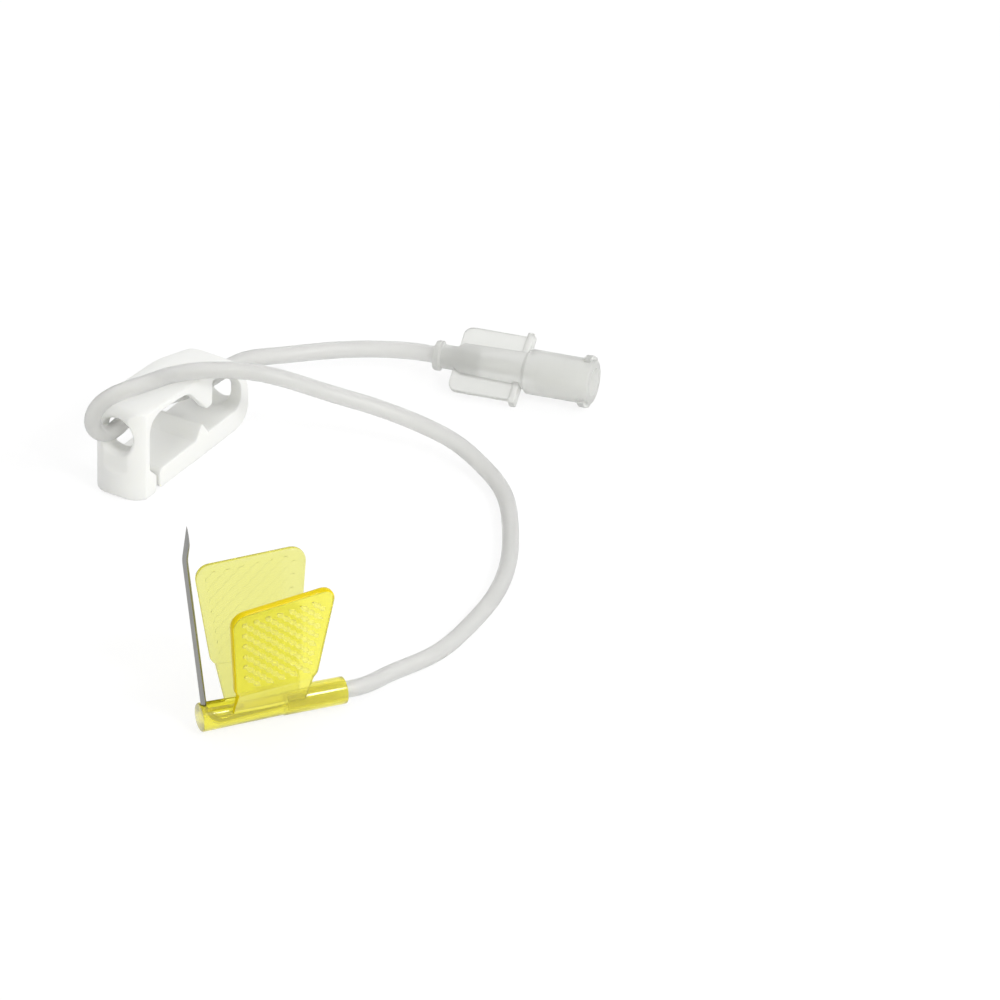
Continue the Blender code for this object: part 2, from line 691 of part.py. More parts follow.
def make_clamp(clamp_frame, material):
    clamp = prism(
        "pinch_clamp", clamp_outline(), 0, CLAMP_WIDTH, clamp_frame, CLAMP_EDGE
    )
    clamp.data.materials.append(material)
    plan = prism(
        "clamp_plan", clamp_plan(), -CLAMP_HEIGHT - SPARE, SPARE, clamp_frame
    )
    plan.rotation_euler.x = -math.pi / 2
    boolean(clamp, plan, "INTERSECT")
    near = prism(
        "near_guard",
        guard_outline(),
        0,
        GUARD_THICKNESS,
        clamp_frame,
        CLAMP_EDGE,
    )
    far = prism(
        "far_guard",
        guard_outline(),
        CLAMP_WIDTH - GUARD_THICKNESS,
        CLAMP_WIDTH,
        clamp_frame,
        CLAMP_EDGE,
    )
    for guard in (near, far):
        boolean(clamp, guard, "UNION")
    rim_start = -WALL_BULGE - SPARE
    latch_hole = turned(
        "latch_hole",
        [
            (rim_start, 0),
            (rim_start, LATCH_HOLE_RADIUS + LATCH_HOLE_RIM + SPARE),
            (-WALL_BULGE + LATCH_HOLE_RIM, LATCH_HOLE_RADIUS),
            (CLAMP_WALL + SPARE, LATCH_HOLE_RADIUS),
            (CLAMP_WALL + SPARE, 0),
        ],
        clamp_frame,
        24,
    )
    latch_hole.location = (0, CLAMP_WIDTH / 2, CLAMP_HEIGHT - LATCH_HOLE_DROP)
    half = HINGE_HOLE_RADIUS
    hole_top = CLAMP_HEIGHT - SHOULDER_DROP - HINGE_HOLE_DROP
    hinge_hole = prism(
        "hinge_hole",
        rounded(
            [
                (-half, HINGE_HOLE_LOW, half),
                (half, HINGE_HOLE_LOW, half),
                (half, hole_top, half),
                (-half, hole_top, half),
            ]
        ),
        -2 * HINGE_THICKNESS,
        HINGE_THICKNESS,
        clamp_frame,
    )
    hinge_hole.rotation_euler = (0, 0, -math.pi / 2)
    hinge_hole.location = (CLAMP_LENGTH, CLAMP_WIDTH / 2, 0)
    for cutter in (latch_hole, hinge_hole):
        boolean(clamp, cutter, "DIFFERENCE")
    shade_round(clamp)
    return clamp


def make_connector(connector_frame, material):
    profile = [
        (0, 0),
        (0, FLANGE_RADIUS - CONNECTOR_EDGE),
        (CONNECTOR_EDGE, FLANGE_RADIUS),
        (FLANGE_THICKNESS, FLANGE_RADIUS),
        (FLANGE_THICKNESS + CONNECTOR_EDGE, THROAT_RADIUS),
        (BODY_START, THROAT_RADIUS),
        (BODY_START + BODY_STEP, BODY_RADIUS),
        (BARREL_START, BODY_RADIUS + CONNECTOR_EDGE),
        (BARREL_START + BARREL_STEP, BARREL_RADIUS),
        (CONNECTOR_LENGTH - CONNECTOR_EDGE, BARREL_RADIUS),
        (CONNECTOR_LENGTH, BARREL_RADIUS - CONNECTOR_EDGE),
        (CONNECTOR_LENGTH, 0),
    ]
    connector = turned("tube_connector", profile, connector_frame)
    connector.data.materials.append(material)
    connector.location.z = LUG_RADIUS
    add_fins(connector, connector_frame)
    add_lugs(connector, connector_frame)
    socket_radius = TUBE_DIAMETER / 2 + BOND_GAP
    cone_end = CONNECTOR_LENGTH - CONE_DEPTH
    cone_end_radius = CONE_MOUTH_RADIUS - CONE_DEPTH * CONE_TAPER / 2
    bore = turned(
        "connector_bore",
        [
            (-SPARE, 0),
            (-SPARE, socket_radius),
            (TUBE_SOCKET, socket_radius),
            (TUBE_SOCKET, LUMEN_RADIUS),
            (cone_end, LUMEN_RADIUS),
            (cone_end, cone_end_radius),
            (CONNECTOR_LENGTH + SPARE, CONE_MOUTH_RADIUS + SPARE * CONE_TAPER / 2),
            (CONNECTOR_LENGTH + SPARE, 0),
        ],
        connector_frame,
        24,
    )
    bore.location.z = LUG_RADIUS
    boolean(connector, bore, "DIFFERENCE")
    shade_round(connector)
    return connector


def add_fins(connector, connector_frame):
    """Two finger fins in one plane through the axis, each with a thicker end."""
    start, end = FIN_START, FIN_START + FIN_LENGTH
    fins = prism(
        "fins",
        rounded(
            [
                (start, -FIN_REACH, FIN_CORNER),
                (end, -FIN_REACH, FIN_LIP_CORNER),
                (end, FIN_REACH, FIN_LIP_CORNER),
                (start, FIN_REACH, FIN_CORNER),
            ]
        ),
        -FIN_THICKNESS / 2,
        FIN_THICKNESS / 2,
        connector_frame,
        CONNECTOR_EDGE,
    )
    lips = prism(
        "fin_lips",
        rounded(
            [
                (end - FIN_LIP, -LIP_REACH, FIN_LIP_CORNER),
                (end, -LIP_REACH, FIN_LIP_CORNER),
                (end, LIP_REACH, FIN_LIP_CORNER),
                (end - FIN_LIP, LIP_REACH, FIN_LIP_CORNER),
            ]
        ),
        -FIN_LIP_THICKNESS / 2,
        FIN_LIP_THICKNESS / 2,
        connector_frame,
        CONNECTOR_EDGE,
    )
    for helper in (fins, lips):
        helper.location.z = LUG_RADIUS
        helper.rotation_euler.x = -(math.pi / 2 - FIN_TILT)
        boolean(connector, helper, "UNION")


def add_lugs(connector, connector_frame):
    """The two lugs of the locking collar's thread, on the mouth's rim."""
    for number, middle in enumerate((FIN_TILT, FIN_TILT + math.pi)):
        arc = []
        for step in range(9):
            angle = middle + LUG_SPAN * (step / 8 - 0.5)
            arc.append(Vector((math.sin(angle), math.cos(angle))))
        inner = (BARREL_RADIUS - LUG_LAP) / LUG_RADIUS
        outline = [LUG_RADIUS * p for p in arc]
        outline += [LUG_RADIUS * inner * p for p in reversed(arc)]
        lug = prism(
            f"lug_{number}",
            outline,
            -LUG_THICKNESS / 2,
            LUG_THICKNESS / 2,
            connector_frame,
        )
        lug.rotation_euler.z = math.pi / 2
        lug.location = (CONNECTOR_LENGTH - LUG_THICKNESS, 0, LUG_RADIUS)
        boolean(connector, lug, "UNION")


def make_tube(hub_frame, connector_frame, root, material):
    """The tube from the bottom of the hub's socket to that of the connector's."""
    inside = SOCKET_START + BUTT_GAP
    start = [
        hub_frame.matrix_basis @ Vector((x, 0, HUB_RADIUS))
        for x in (inside, (inside + HUB_LENGTH) / 2, HUB_LENGTH, HUB_LENGTH + RUN_OUT)
    ]
    end = [
        connector_frame.matrix_basis @ Vector((x, 0, LUG_RADIUS))
        for x in (-RUN_OUT, 0, TUBE_SOCKET / 2, TUBE_SOCKET - BUTT_GAP)
    ]
    stops = start + [Vector(stop) * MM for stop in ROUTE] + end
    curve = tube_curve(
        "extension_tube", smooth_route(stops, TUBE_STEPS), TUBE_DIAMETER / 2, 2
    )
    return place("extension_tube", curve, root, material)


def centre_on_origin(root, pieces):
    """Moves the set so that the origin is under the middle of its rigid pieces."""
    bpy.context.view_layer.update()
    graph = bpy.context.evaluated_depsgraph_get()
    points = []
    for piece in pieces:
        seen = piece.evaluated_get(graph)
        mesh = seen.to_mesh()
        points += [seen.matrix_world @ v.co for v in mesh.vertices]
        seen.to_mesh_clear()
    low = Vector([min(p[k] for p in points) for k in range(3)])
    high = Vector([max(p[k] for p in points) for k in range(3)])
    root.location = (-(low.x + high.x) / 2, -(low.y + high.y) / 2, -low.z)
    bpy.context.view_layer.update()


def main():
    for old in list(bpy.data.objects):
        bpy.data.objects.remove(old)
    yellow = plastic("hub_yellow", (0.83, 0.74, 0.08), 0.25)
    white = plastic("clamp_white", (0.86, 0.86, 0.84), 0.45)
    frosted = plastic("connector_frosted", (0.74, 0.75, 0.73), 0.35)
    clear = plastic("tube_clear", (0.78, 0.79, 0.78), 0.3)
    bright = steel("cannula_steel", (0.52, 0.52, 0.5), 0.25)

    root = frame("needle_set")
    hub_frame = frame("hub_frame", (HUB_X, HUB_Y, 0), HUB_TURN, root)
    clamp_frame = frame("clamp_frame", (CLAMP_X, CLAMP_Y, 0), CLAMP_TURN, root)
    connector_frame = frame(
        "connector_frame", (CONNECTOR_X, CONNECTOR_Y, 0), CONNECTOR_TURN, root
    )

    bpy.context.view_layer.update()
    cannula = make_cannula(hub_frame, bright)
    hub = make_hub(hub_frame, yellow)
    clamp = make_clamp(clamp_frame, white)
    connector = make_connector(connector_frame, frosted)
    make_tube(hub_frame, connector_frame, root, clear)
    centre_on_origin(root, (cannula, hub, clamp, connector))


main()
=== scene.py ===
import math
import bmesh
import bpy
import numpy as np
from mathutils import Matrix, Vector


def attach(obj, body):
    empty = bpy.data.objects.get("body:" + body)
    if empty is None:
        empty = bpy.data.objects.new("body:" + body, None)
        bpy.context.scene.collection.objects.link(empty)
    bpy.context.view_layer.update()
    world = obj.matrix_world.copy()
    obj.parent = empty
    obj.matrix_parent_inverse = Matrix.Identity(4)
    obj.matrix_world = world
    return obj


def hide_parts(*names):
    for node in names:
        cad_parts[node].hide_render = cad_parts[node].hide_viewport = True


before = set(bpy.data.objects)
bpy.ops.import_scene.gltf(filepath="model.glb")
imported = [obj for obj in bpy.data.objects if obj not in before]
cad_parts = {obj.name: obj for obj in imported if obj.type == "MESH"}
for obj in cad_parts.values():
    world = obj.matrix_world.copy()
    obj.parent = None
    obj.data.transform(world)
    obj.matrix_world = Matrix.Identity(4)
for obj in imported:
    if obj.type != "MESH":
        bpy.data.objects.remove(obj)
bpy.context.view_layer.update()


# All the building below is in millimetres; settle() turns it into metres.
layout = {
    "millimetre": 0.001,
    "shift": (22.230, 17.219, 0.0),  # from the photograph's middle to the row's origin
    "hub": ((-44.204, -65.788), 20.5),
    "clamp": ((-52.08, 0.02), 56.5),
    "connector": ((-9.4, 34.95), -18.8),
}


def placeOf(name):
    (x, y), turn = layout[name]
    move = Vector((x, y, 0)) + Vector(layout["shift"])
    return Matrix.Translation(move) @ Matrix.Rotation(math.radians(turn), 4, "Z")


hubPlace = placeOf("hub")
clampPlace = placeOf("clamp")
connectorPlace = placeOf("connector")


# Camera, lights, floor

view = {
    "elevation": 31.0,
    "distance": 2.0,
    "fieldWidth": 0.14706,  # metres across the frame
}

light = {
    "roomLeft": 0.42,
    "roomRight": 1.15,
    "key": (0.55, -0.56, 0.68, 0.26, 3.0),  # x, y, z, size, watts
    "fill": (-0.6, -0.5, 0.5, 0.6, 0.4),
    "back": (-0.1, 0.6, 0.8, 0.7, 0.5),
}

floorLook = {
    "size": 3.0,
    "pale": 0.86,
    "seen": 0.22,  # diffuse share of what the camera sees, which keeps the shadow
    "glow": 0.81,
    "drop": -0.00002,  # a hair under the parts that lie on it
}


def aim(item, target):
    way = Vector(target) - item.location
    item.rotation_euler = way.to_track_quat("-Z", "Y").to_euler()


def makeCamera():
    target = Vector(layout["shift"]) * layout["millimetre"]
    slope = math.radians(view["elevation"])
    data = bpy.data.cameras.new("photoCamera")
    data.type = "ORTHO"
    data.ortho_scale = view["fieldWidth"]
    data.clip_start = 0.05
    data.clip_end = 20
    camera = bpy.data.objects.new("photoCamera", data)
    bpy.context.scene.collection.objects.link(camera)
    back = Vector((0, -math.cos(slope), math.sin(slope)))
    camera.location = target + view["distance"] * back
    aim(camera, target)
    bpy.context.scene.camera = camera


def makeLights():
    world = bpy.data.worlds.new("paleRoom")
    world.use_nodes = True
    tree = world.node_tree
    tree.nodes.clear()
    path = tree.nodes.new("ShaderNodeLightPath")
    most = tree.nodes.new("ShaderNodeMath")
    most.operation = "MAXIMUM"
    where = tree.nodes.new("ShaderNodeTexCoord")
    parts = tree.nodes.new("ShaderNodeSeparateXYZ")
    sides = tree.nodes.new("ShaderNodeMapRange")
    sides.inputs["From Min"].default_value = -1.0
    sides.inputs["To Min"].default_value = light["roomLeft"]
    sides.inputs["To Max"].default_value = light["roomRight"]
    glow = tree.nodes.new("ShaderNodeMapRange")
    glow.inputs["To Max"].default_value = 1.0
    sky = tree.nodes.new("ShaderNodeBackground")
    sky.inputs["Color"].default_value = (1, 1, 1, 1)
    out = tree.nodes.new("ShaderNodeOutputWorld")
    tree.links.new(path.outputs["Is Camera Ray"], most.inputs[0])
    tree.links.new(path.outputs["Is Transmission Ray"], most.inputs[1])
    tree.links.new(where.outputs["Generated"], parts.inputs[0])
    tree.links.new(parts.outputs["X"], sides.inputs["Value"])
    tree.links.new(sides.outputs["Result"], glow.inputs["To Min"])
    tree.links.new(most.outputs[0], glow.inputs["Value"])
    tree.links.new(glow.outputs["Result"], sky.inputs["Strength"])
    tree.links.new(sky.outputs["Background"], out.inputs["Surface"])
    bpy.context.scene.world = world
    for name in ("key", "fill", "back"):
        x, y, z, size, watts = light[name]
        data = bpy.data.lights.new(name + "Light", "AREA")
        data.shape = "DISK"
        data.size = size
        data.energy = watts
        lamp = bpy.data.objects.new(name + "Light", data)
        bpy.context.scene.collection.objects.link(lamp)
        lamp.location = (x, y, z)
        aim(lamp, (0, 0, 0.01))


def makeFloor():
    material = bpy.data.materials.new("paleFloor")
    material.use_nodes = True
    tree = material.node_tree
    tree.nodes.clear()
    path = tree.nodes.new("ShaderNodeLightPath")
    first = tree.nodes.new("ShaderNodeMath")
    first.operation = "MAXIMUM"
    most = tree.nodes.new("ShaderNodeMath")
    most.operation = "MAXIMUM"
    pale = tree.nodes.new("ShaderNodeBsdfDiffuse")
    pale.inputs["Color"].default_value = (*[floorLook["pale"]] * 3, 1)
    seen = tree.nodes.new("ShaderNodeBsdfDiffuse")
    seen.inputs["Color"].default_value = (*[floorLook["seen"]] * 3, 1)
    glow = tree.nodes.new("ShaderNodeEmission")
    glow.inputs["Strength"].default_value = floorLook["glow"]
    both = tree.nodes.new("ShaderNodeAddShader")
    mix = tree.nodes.new("ShaderNodeMixShader")
    out = tree.nodes.new("ShaderNodeOutputMaterial")
    links = tree.links
    links.new(path.outputs["Is Camera Ray"], first.inputs[0])
    links.new(path.outputs["Is Transmission Ray"], first.inputs[1])
    links.new(first.outputs[0], most.inputs[0])
    links.new(path.outputs["Is Glossy Ray"], most.inputs[1])
    links.new(seen.outputs["BSDF"], both.inputs[0])
    links.new(glow.outputs["Emission"], both.inputs[1])
    links.new(most.outputs[0], mix.inputs["Fac"])
    links.new(pale.outputs["BSDF"], mix.inputs[1])
    links.new(both.outputs["Shader"], mix.inputs[2])
    links.new(mix.outputs["Shader"], out.inputs["Surface"])
    bm = bmesh.new()
    bmesh.ops.create_grid(bm, x_segments=2, y_segments=2, size=floorLook["size"] / 2)
    mesh = bpy.data.meshes.new("paleFloor")
    bm.to_mesh(mesh)
    bm.free()
    mesh.materials.append(material)
    floor = bpy.data.objects.new("paleFloor", mesh)
    bpy.context.scene.collection.objects.link(floor)
    floor.location.z = floorLook["drop"]


makeCamera()
makeLights()
makeFloor()
bpy.context.scene.view_settings.view_transform = "Standard"
print("stage: camera, lights and floor")


# Mesh tools


def objectFrom(bm, name):
    bmesh.ops.recalc_face_normals(bm, faces=bm.faces)
    mesh = bpy.data.meshes.new(name)
    bm.to_mesh(mesh)
    bm.free()
    made = bpy.data.objects.new(name, mesh)
    bpy.context.scene.collection.objects.link(made)
    return made


def shaped(made, matrix):
    made.data.transform(matrix)
    return made


def roundOutline(corners, steps=8):
    points = []
    for i, (x, y, radius) in enumerate(corners):
        here = Vector((x, y))
        before = Vector(corners[i - 1][:2]) - here
        after = Vector(corners[(i + 1) % len(corners)][:2]) - here
        bend = before.angle(after)
        if radius <= 0 or bend > math.radians(179):
            points.append(here)
            continue
        back = radius / math.tan(bend / 2)
        back = min(back, 0.49 * before.length, 0.49 * after.length)
        radius = back * math.tan(bend / 2)
        towards = (before.normalized() + after.normalized()).normalized()
        middle = here + towards * (radius / math.sin(bend / 2))
        start = here + before.normalized() * back - middle
        turn = (here + after.normalized() * back - middle).angle_signed(start)
        for step in range(steps + 1):
            points.append(middle + Matrix.Rotation(turn * step / steps, 2) @ start)
    return points


def drawOut(name, outline, low, high, rim=0.0, rimSteps=3):
    bm = bmesh.new()
    face = bm.faces.new([bm.verts.new((p.x, low, p.y)) for p in outline])
    drawn = bmesh.ops.extrude_face_region(bm, geom=[face])["geom"]
    moved = [v for v in drawn if isinstance(v, bmesh.types.BMVert)]
    bmesh.ops.translate(bm, verts=moved, vec=(0, high - low, 0))
    if rim:
        edges = [e for e in bm.edges if abs(e.verts[0].co.y - e.verts[1].co.y) < 1e-6]
        bmesh.ops.bevel(
            bm, geom=edges, offset=rim, segments=rimSteps, profile=0.5, affect="EDGES"
        )
    return objectFrom(bm, name)


def latheX(name, profile, sides=64):
    bm = bmesh.new()
    verts = [bm.verts.new((x, 0, radius)) for x, radius in profile]
    edges = [bm.edges.new(pair) for pair in zip(verts, verts[1:])]
    bmesh.ops.spin(
        bm,
        geom=verts + edges,
        cent=(0, 0, 0),
        axis=(1, 0, 0),
        angle=2 * math.pi,
        steps=sides,
    )
    bmesh.ops.remove_doubles(bm, verts=bm.verts, dist=0.0001)
    return objectFrom(bm, name)


def blockOf(name, low, high):
    bm = bmesh.new()
    bmesh.ops.create_cube(bm, size=1.0)
    low, high = Vector(low), Vector(high)
    bmesh.ops.scale(bm, vec=high - low, verts=bm.verts)
    bmesh.ops.translate(bm, vec=(low + high) / 2, verts=bm.verts)
    return objectFrom(bm, name)


def pipe(name, points, radius, bore=0.0, sides=32):
    # a round or hollow bar along a line, with its rings turned no more than the line
    points = [Vector(p) for p in points]
    ways = [(b - a).normalized() for a, b in zip(points, points[1:])]
    ways = [ways[0]] + [(a + b).normalized() for a, b in zip(ways, ways[1:])] + [ways[-1]]
    side = ways[0].orthogonal().normalized()
    bm = bmesh.new()
    skins = [[] for _ in range(2 if bore else 1)]
    for point, way in zip(points, ways):
        side = (side - side.dot(way) * way).normalized()
        other = way.cross(side)
        for skin, reach in zip(skins, (radius, bore)):
            ring = []
            for k in range(sides):
                angle = 2 * math.pi * k / sides
                spoke = math.cos(angle) * side + math.sin(angle) * other
                ring.append(bm.verts.new(point + reach * spoke))
            skin.append(ring)
    for skin in skins:
        for a, b in zip(skin, skin[1:]):
            for k in range(sides):
                n = (k + 1) % sides
                bm.faces.new((a[k], a[n], b[n], b[k]))
    for end in (0, -1):
        outer = skins[0][end]
        if bore:
            inner = skins[1][end]
            for k in range(sides):
                n = (k + 1) % sides
                bm.faces.new((outer[k], outer[n], inner[n], inner[k]))
        else:
            bm.faces.new(outer)
    return objectFrom(bm, name)


def combine(made, tools):
    for tool, operation in tools:
        modifier = made.modifiers.new(tool.name, "BOOLEAN")
        modifier.operation = operation
        modifier.solver = "EXACT"
        modifier.object = tool
    return bakeDown(made, [tool for tool, operation in tools])


def bakeDown(made, spent=()):
    graph = bpy.context.evaluated_depsgraph_get()
    mesh = bpy.data.meshes.new_from_object(made.evaluated_get(graph))
    old = made.data
    made.modifiers.clear()
    made.data = mesh
    bpy.data.meshes.remove(old)
    for tool in spent:
        data = tool.data
        bpy.data.objects.remove(tool)
        bpy.data.meshes.remove(data)
    return made


def melt(made, voxel, rounds, factor=0.5):
    # an even skin whose edges are rounded as a mould leaves them
    modifier = made.modifiers.new("skin", "REMESH")
    modifier.mode = "VOXEL"
    modifier.voxel_size = voxel
    modifier = made.modifiers.new("soften", "SMOOTH")
    modifier.iterations = rounds
    modifier.factor = factor
    return bakeDown(made)


def settle(made, place, looks, angle=35.0):
    # metres, shading and materials; each face keeps its own of the materials
    made.data.transform(Matrix.Scale(layout["millimetre"], 4) @ place)
    made.data.shade_smooth()
    if angle:
        made.data.set_sharp_from_angle(angle=math.radians(angle))
    last = len(looks) - 1
    kept = [min(face.material_index, last) for face in made.data.polygons]
    made.data.materials.clear()
    for look in looks:
        made.data.materials.append(look)
    for face, index in zip(made.data.polygons, kept):
        face.material_index = index
    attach(made, "root")
    return made


# Shared shader effects


def socket(group, name, kind, way, value=None):
    made = group.interface.new_socket(name=name, in_out=way, socket_type=kind)
    if value is not None:
        made.default_value = value
    return made


def makeMouldedSkin():
    # fine mottling of a moulded surface, in roughness and height
    group = bpy.data.node_groups.new("mouldedSkin", "ShaderNodeTree")
    socket(group, "Grain Size", "NodeSocketFloat", "INPUT", 1.5)
    socket(group, "Roughness", "NodeSocketFloat", "INPUT", 0.3)
    socket(group, "Spread", "NodeSocketFloat", "INPUT", 0.08)
    socket(group, "Roughness", "NodeSocketFloat", "OUTPUT")
    socket(group, "Height", "NodeSocketFloat", "OUTPUT")
    socket(group, "Cloud", "NodeSocketFloat", "OUTPUT")
    nodes, links = group.nodes, group.links
    start = nodes.new("NodeGroupInput")
    end = nodes.new("NodeGroupOutput")
    where = nodes.new("ShaderNodeTexCoord")
    finer = nodes.new("ShaderNodeMath")
    finer.operation = "MULTIPLY"
    finer.inputs[1].default_value = 1000.0
    wide = nodes.new("ShaderNodeTexNoise")
    wide.inputs["Scale"].default_value = 220.0
    wide.inputs["Detail"].default_value = 3.0
    fine = nodes.new("ShaderNodeTexNoise")
    fine.inputs["Detail"].default_value = 2.0
    centred = nodes.new("ShaderNodeMath")
    centred.operation = "SUBTRACT"
    centred.inputs[1].default_value = 0.5
    spread = nodes.new("ShaderNodeMath")
    spread.operation = "MULTIPLY_ADD"
    links.new(where.outputs["Object"], wide.inputs["Vector"])
    links.new(where.outputs["Object"], fine.inputs["Vector"])
    links.new(start.outputs["Grain Size"], finer.inputs[0])
    links.new(finer.outputs[0], fine.inputs["Scale"])
    links.new(wide.outputs["Fac"], centred.inputs[0])
    links.new(centred.outputs[0], spread.inputs[0])
    links.new(start.outputs["Spread"], spread.inputs[1])
    links.new(start.outputs["Roughness"], spread.inputs[2])
    links.new(spread.outputs[0], end.inputs["Roughness"])
    links.new(fine.outputs["Fac"], end.inputs["Height"])
    links.new(wide.outputs["Fac"], end.inputs["Cloud"])
    return group


def makeFlowTint():
    # a slow drift between two shades of one plastic
    group = bpy.data.node_groups.new("flowTint", "ShaderNodeTree")
    socket(group, "Color", "NodeSocketColor", "INPUT", (1, 1, 1, 1))
    socket(group, "Shade", "NodeSocketColor", "INPUT", (0.9, 0.9, 0.9, 1))
    socket(group, "Cloud", "NodeSocketFloat", "INPUT", 0.5)
    socket(group, "Amount", "NodeSocketFloat", "INPUT", 0.5)
    socket(group, "Color", "NodeSocketColor", "OUTPUT")
    nodes, links = group.nodes, group.links
    start = nodes.new("NodeGroupInput")
    end = nodes.new("NodeGroupOutput")
    share = nodes.new("ShaderNodeMath")
    share.operation = "MULTIPLY"
    mix = nodes.new("ShaderNodeMix")
    mix.data_type = "RGBA"
    links.new(start.outputs["Cloud"], share.inputs[0])
    links.new(start.outputs["Amount"], share.inputs[1])
    links.new(share.outputs[0], mix.inputs["Factor"])
    links.new(start.outputs["Color"], mix.inputs["A"])
    links.new(start.outputs["Shade"], mix.inputs["B"])
    links.new(mix.outputs["Result"], end.inputs["Color"])
    return group


mouldedSkin = makeMouldedSkin()
flowTint = makeFlowTint()


def plasticLook(name, look):
    material = bpy.data.materials.new(name)
    material.use_nodes = True
    tree = material.node_tree
    nodes, links = tree.nodes, tree.links
    shader = nodes["Principled BSDF"]
    skin = nodes.new("ShaderNodeGroup")
    skin.node_tree = mouldedSkin
    skin.inputs["Grain Size"].default_value = look["grain"]
    skin.inputs["Roughness"].default_value = look["roughness"]
    skin.inputs["Spread"].default_value = look["spread"]
    tint = nodes.new("ShaderNodeGroup")
    tint.node_tree = flowTint
    tint.inputs["Color"].default_value = (*look["color"], 1)
    tint.inputs["Shade"].default_value = (*look["shade"], 1)
    tint.inputs["Amount"].default_value = look["drift"]
    bump = nodes.new("ShaderNodeBump")
    bump.inputs["Strength"].default_value = look["bump"]
    bump.inputs["Distance"].default_value = look["bumpHeight"]
    links.new(skin.outputs["Roughness"], shader.inputs["Roughness"])
    links.new(skin.outputs["Height"], bump.inputs["Height"])
    links.new(skin.outputs["Cloud"], tint.inputs["Cloud"])
    links.new(tint.outputs["Color"], shader.inputs["Base Color"])
    links.new(bump.outputs["Normal"], shader.inputs["Normal"])
    shader.inputs["IOR"].default_value = look["ior"]
    shader.inputs["Specular IOR Level"].default_value = look.get("gloss", 0.5)
    shader.inputs["Coat Weight"].default_value = look.get("coat", 0.0)
    shader.inputs["Coat Roughness"].default_value = look.get("coatRoughness", 0.03)
    shader.inputs["Transmission Weight"].default_value = look["clear"]
    shader.inputs["Subsurface Weight"].default_value = look["milky"]
    shader.inputs["Subsurface Radius"].default_value = (1.0, 1.0, 0.9)
    shader.inputs["Subsurface Scale"].default_value = look["milkyDepth"]
    if look.get("density"):
        depth = nodes.new("ShaderNodeVolumeAbsorption")
        depth.inputs["Color"].default_value = (*look["absorb"], 1)
        depth.inputs["Density"].default_value = look["density"]
        links.new(depth.outputs["Volume"], nodes["Material Output"].inputs["Volume"])
    return material


# The needle, a bent steel tube

needle = {
    "radius": 0.45,
    "bore": 0.3,
    "fromEnd": 0.65,
    "lean": 6.6,
    "bend": 2.8,
    "drop": 0.65,
    "legSlope": 2.5,
    "legEnd": 12.85,
    "shaft": 25.2,
    "tipTurn": 14.0,
    "tipRadius": 6.0,
    "tipPoint": 4.9,
    "tipSpare": 1.5,
    "bendSteps": 20,
    "tipSteps": 10,
    "sides": 40,
}

hub = {
    "length": 22.75,
    "radius": 2.2,
    "neck": 1.95,
    "sleeve": 2.08,
    "sleeveStart": 12.65,
    "sleeveStep": 0.3,
    "edge": 0.25,
    "socketStart": 13.35,
    "socketRadius": 1.45,
    "slotStart": 1.0,
    "slotEnd": 6.45,
    "slotWidth": 1.9,
    "slotDepth": 1.0,
    "channel": 0.6,
    "channelSides": 24,
    "edgeSteps": 5,
}


def arcAfter(start, heading, radius, turn, steps):
    centre = start + radius * Vector(
        (math.cos(heading - math.pi / 2), 0, math.sin(heading - math.pi / 2))
    )
    found = []
    for step in range(1, steps + 1):
        angle = heading - turn * step / steps - math.pi / 2
        found.append(centre - radius * Vector((math.cos(angle), 0, math.sin(angle))))
    return found


def needleLine():
    slope, lean = math.radians(needle["legSlope"]), math.radians(needle["lean"])
    heading, upright = math.pi + slope, math.pi / 2 + lean
    height = hub["radius"] - needle["drop"]
    rise = needle["bend"] * (math.cos(slope) - math.sin(lean))
    run = needle["bend"] * (math.sin(slope) + math.cos(lean))
    under = 2 * hub["radius"] - height - rise
    start = needle["fromEnd"] + under * math.tan(lean) + run
    leg = needle["legEnd"] - start
    points = [
        Vector((needle["legEnd"], 0, height + leg * math.tan(slope))),
        Vector((start, 0, height)),
    ]
    steps = needle["bendSteps"]
    points += arcAfter(points[-1], heading, needle["bend"], heading - upright, steps)
    shaft = Vector((math.cos(upright), 0, math.sin(upright)))
    points.append(points[-1] + needle["shaft"] * shaft)
    tipTurn = math.radians(needle["tipTurn"])
    steps = needle["tipSteps"]
    points += arcAfter(points[-1], upright, needle["tipRadius"], tipTurn, steps)
    tipWay = upright - tipTurn
    tip = Vector((math.cos(tipWay), 0, math.sin(tipWay)))
    back = Vector((-tip.z, 0, tip.x))
    point = points[-1] + needle["tipPoint"] * tip + needle["radius"] * back
    points.append(points[-1] + (needle["tipPoint"] + needle["tipSpare"]) * tip)
    return points, point


steelFinish = {
    "lines": (9000, 9000, 260),  # drawn lines, long along the shaft
    "detail": 4.0,
    "roughness": (0.14, 0.26),
    "dark": (0.22, 0.22, 0.21, 1),
    "bright": (0.38, 0.38, 0.37, 1),
    "bump": 0.12,
    "bumpHeight": 0.00001,
}


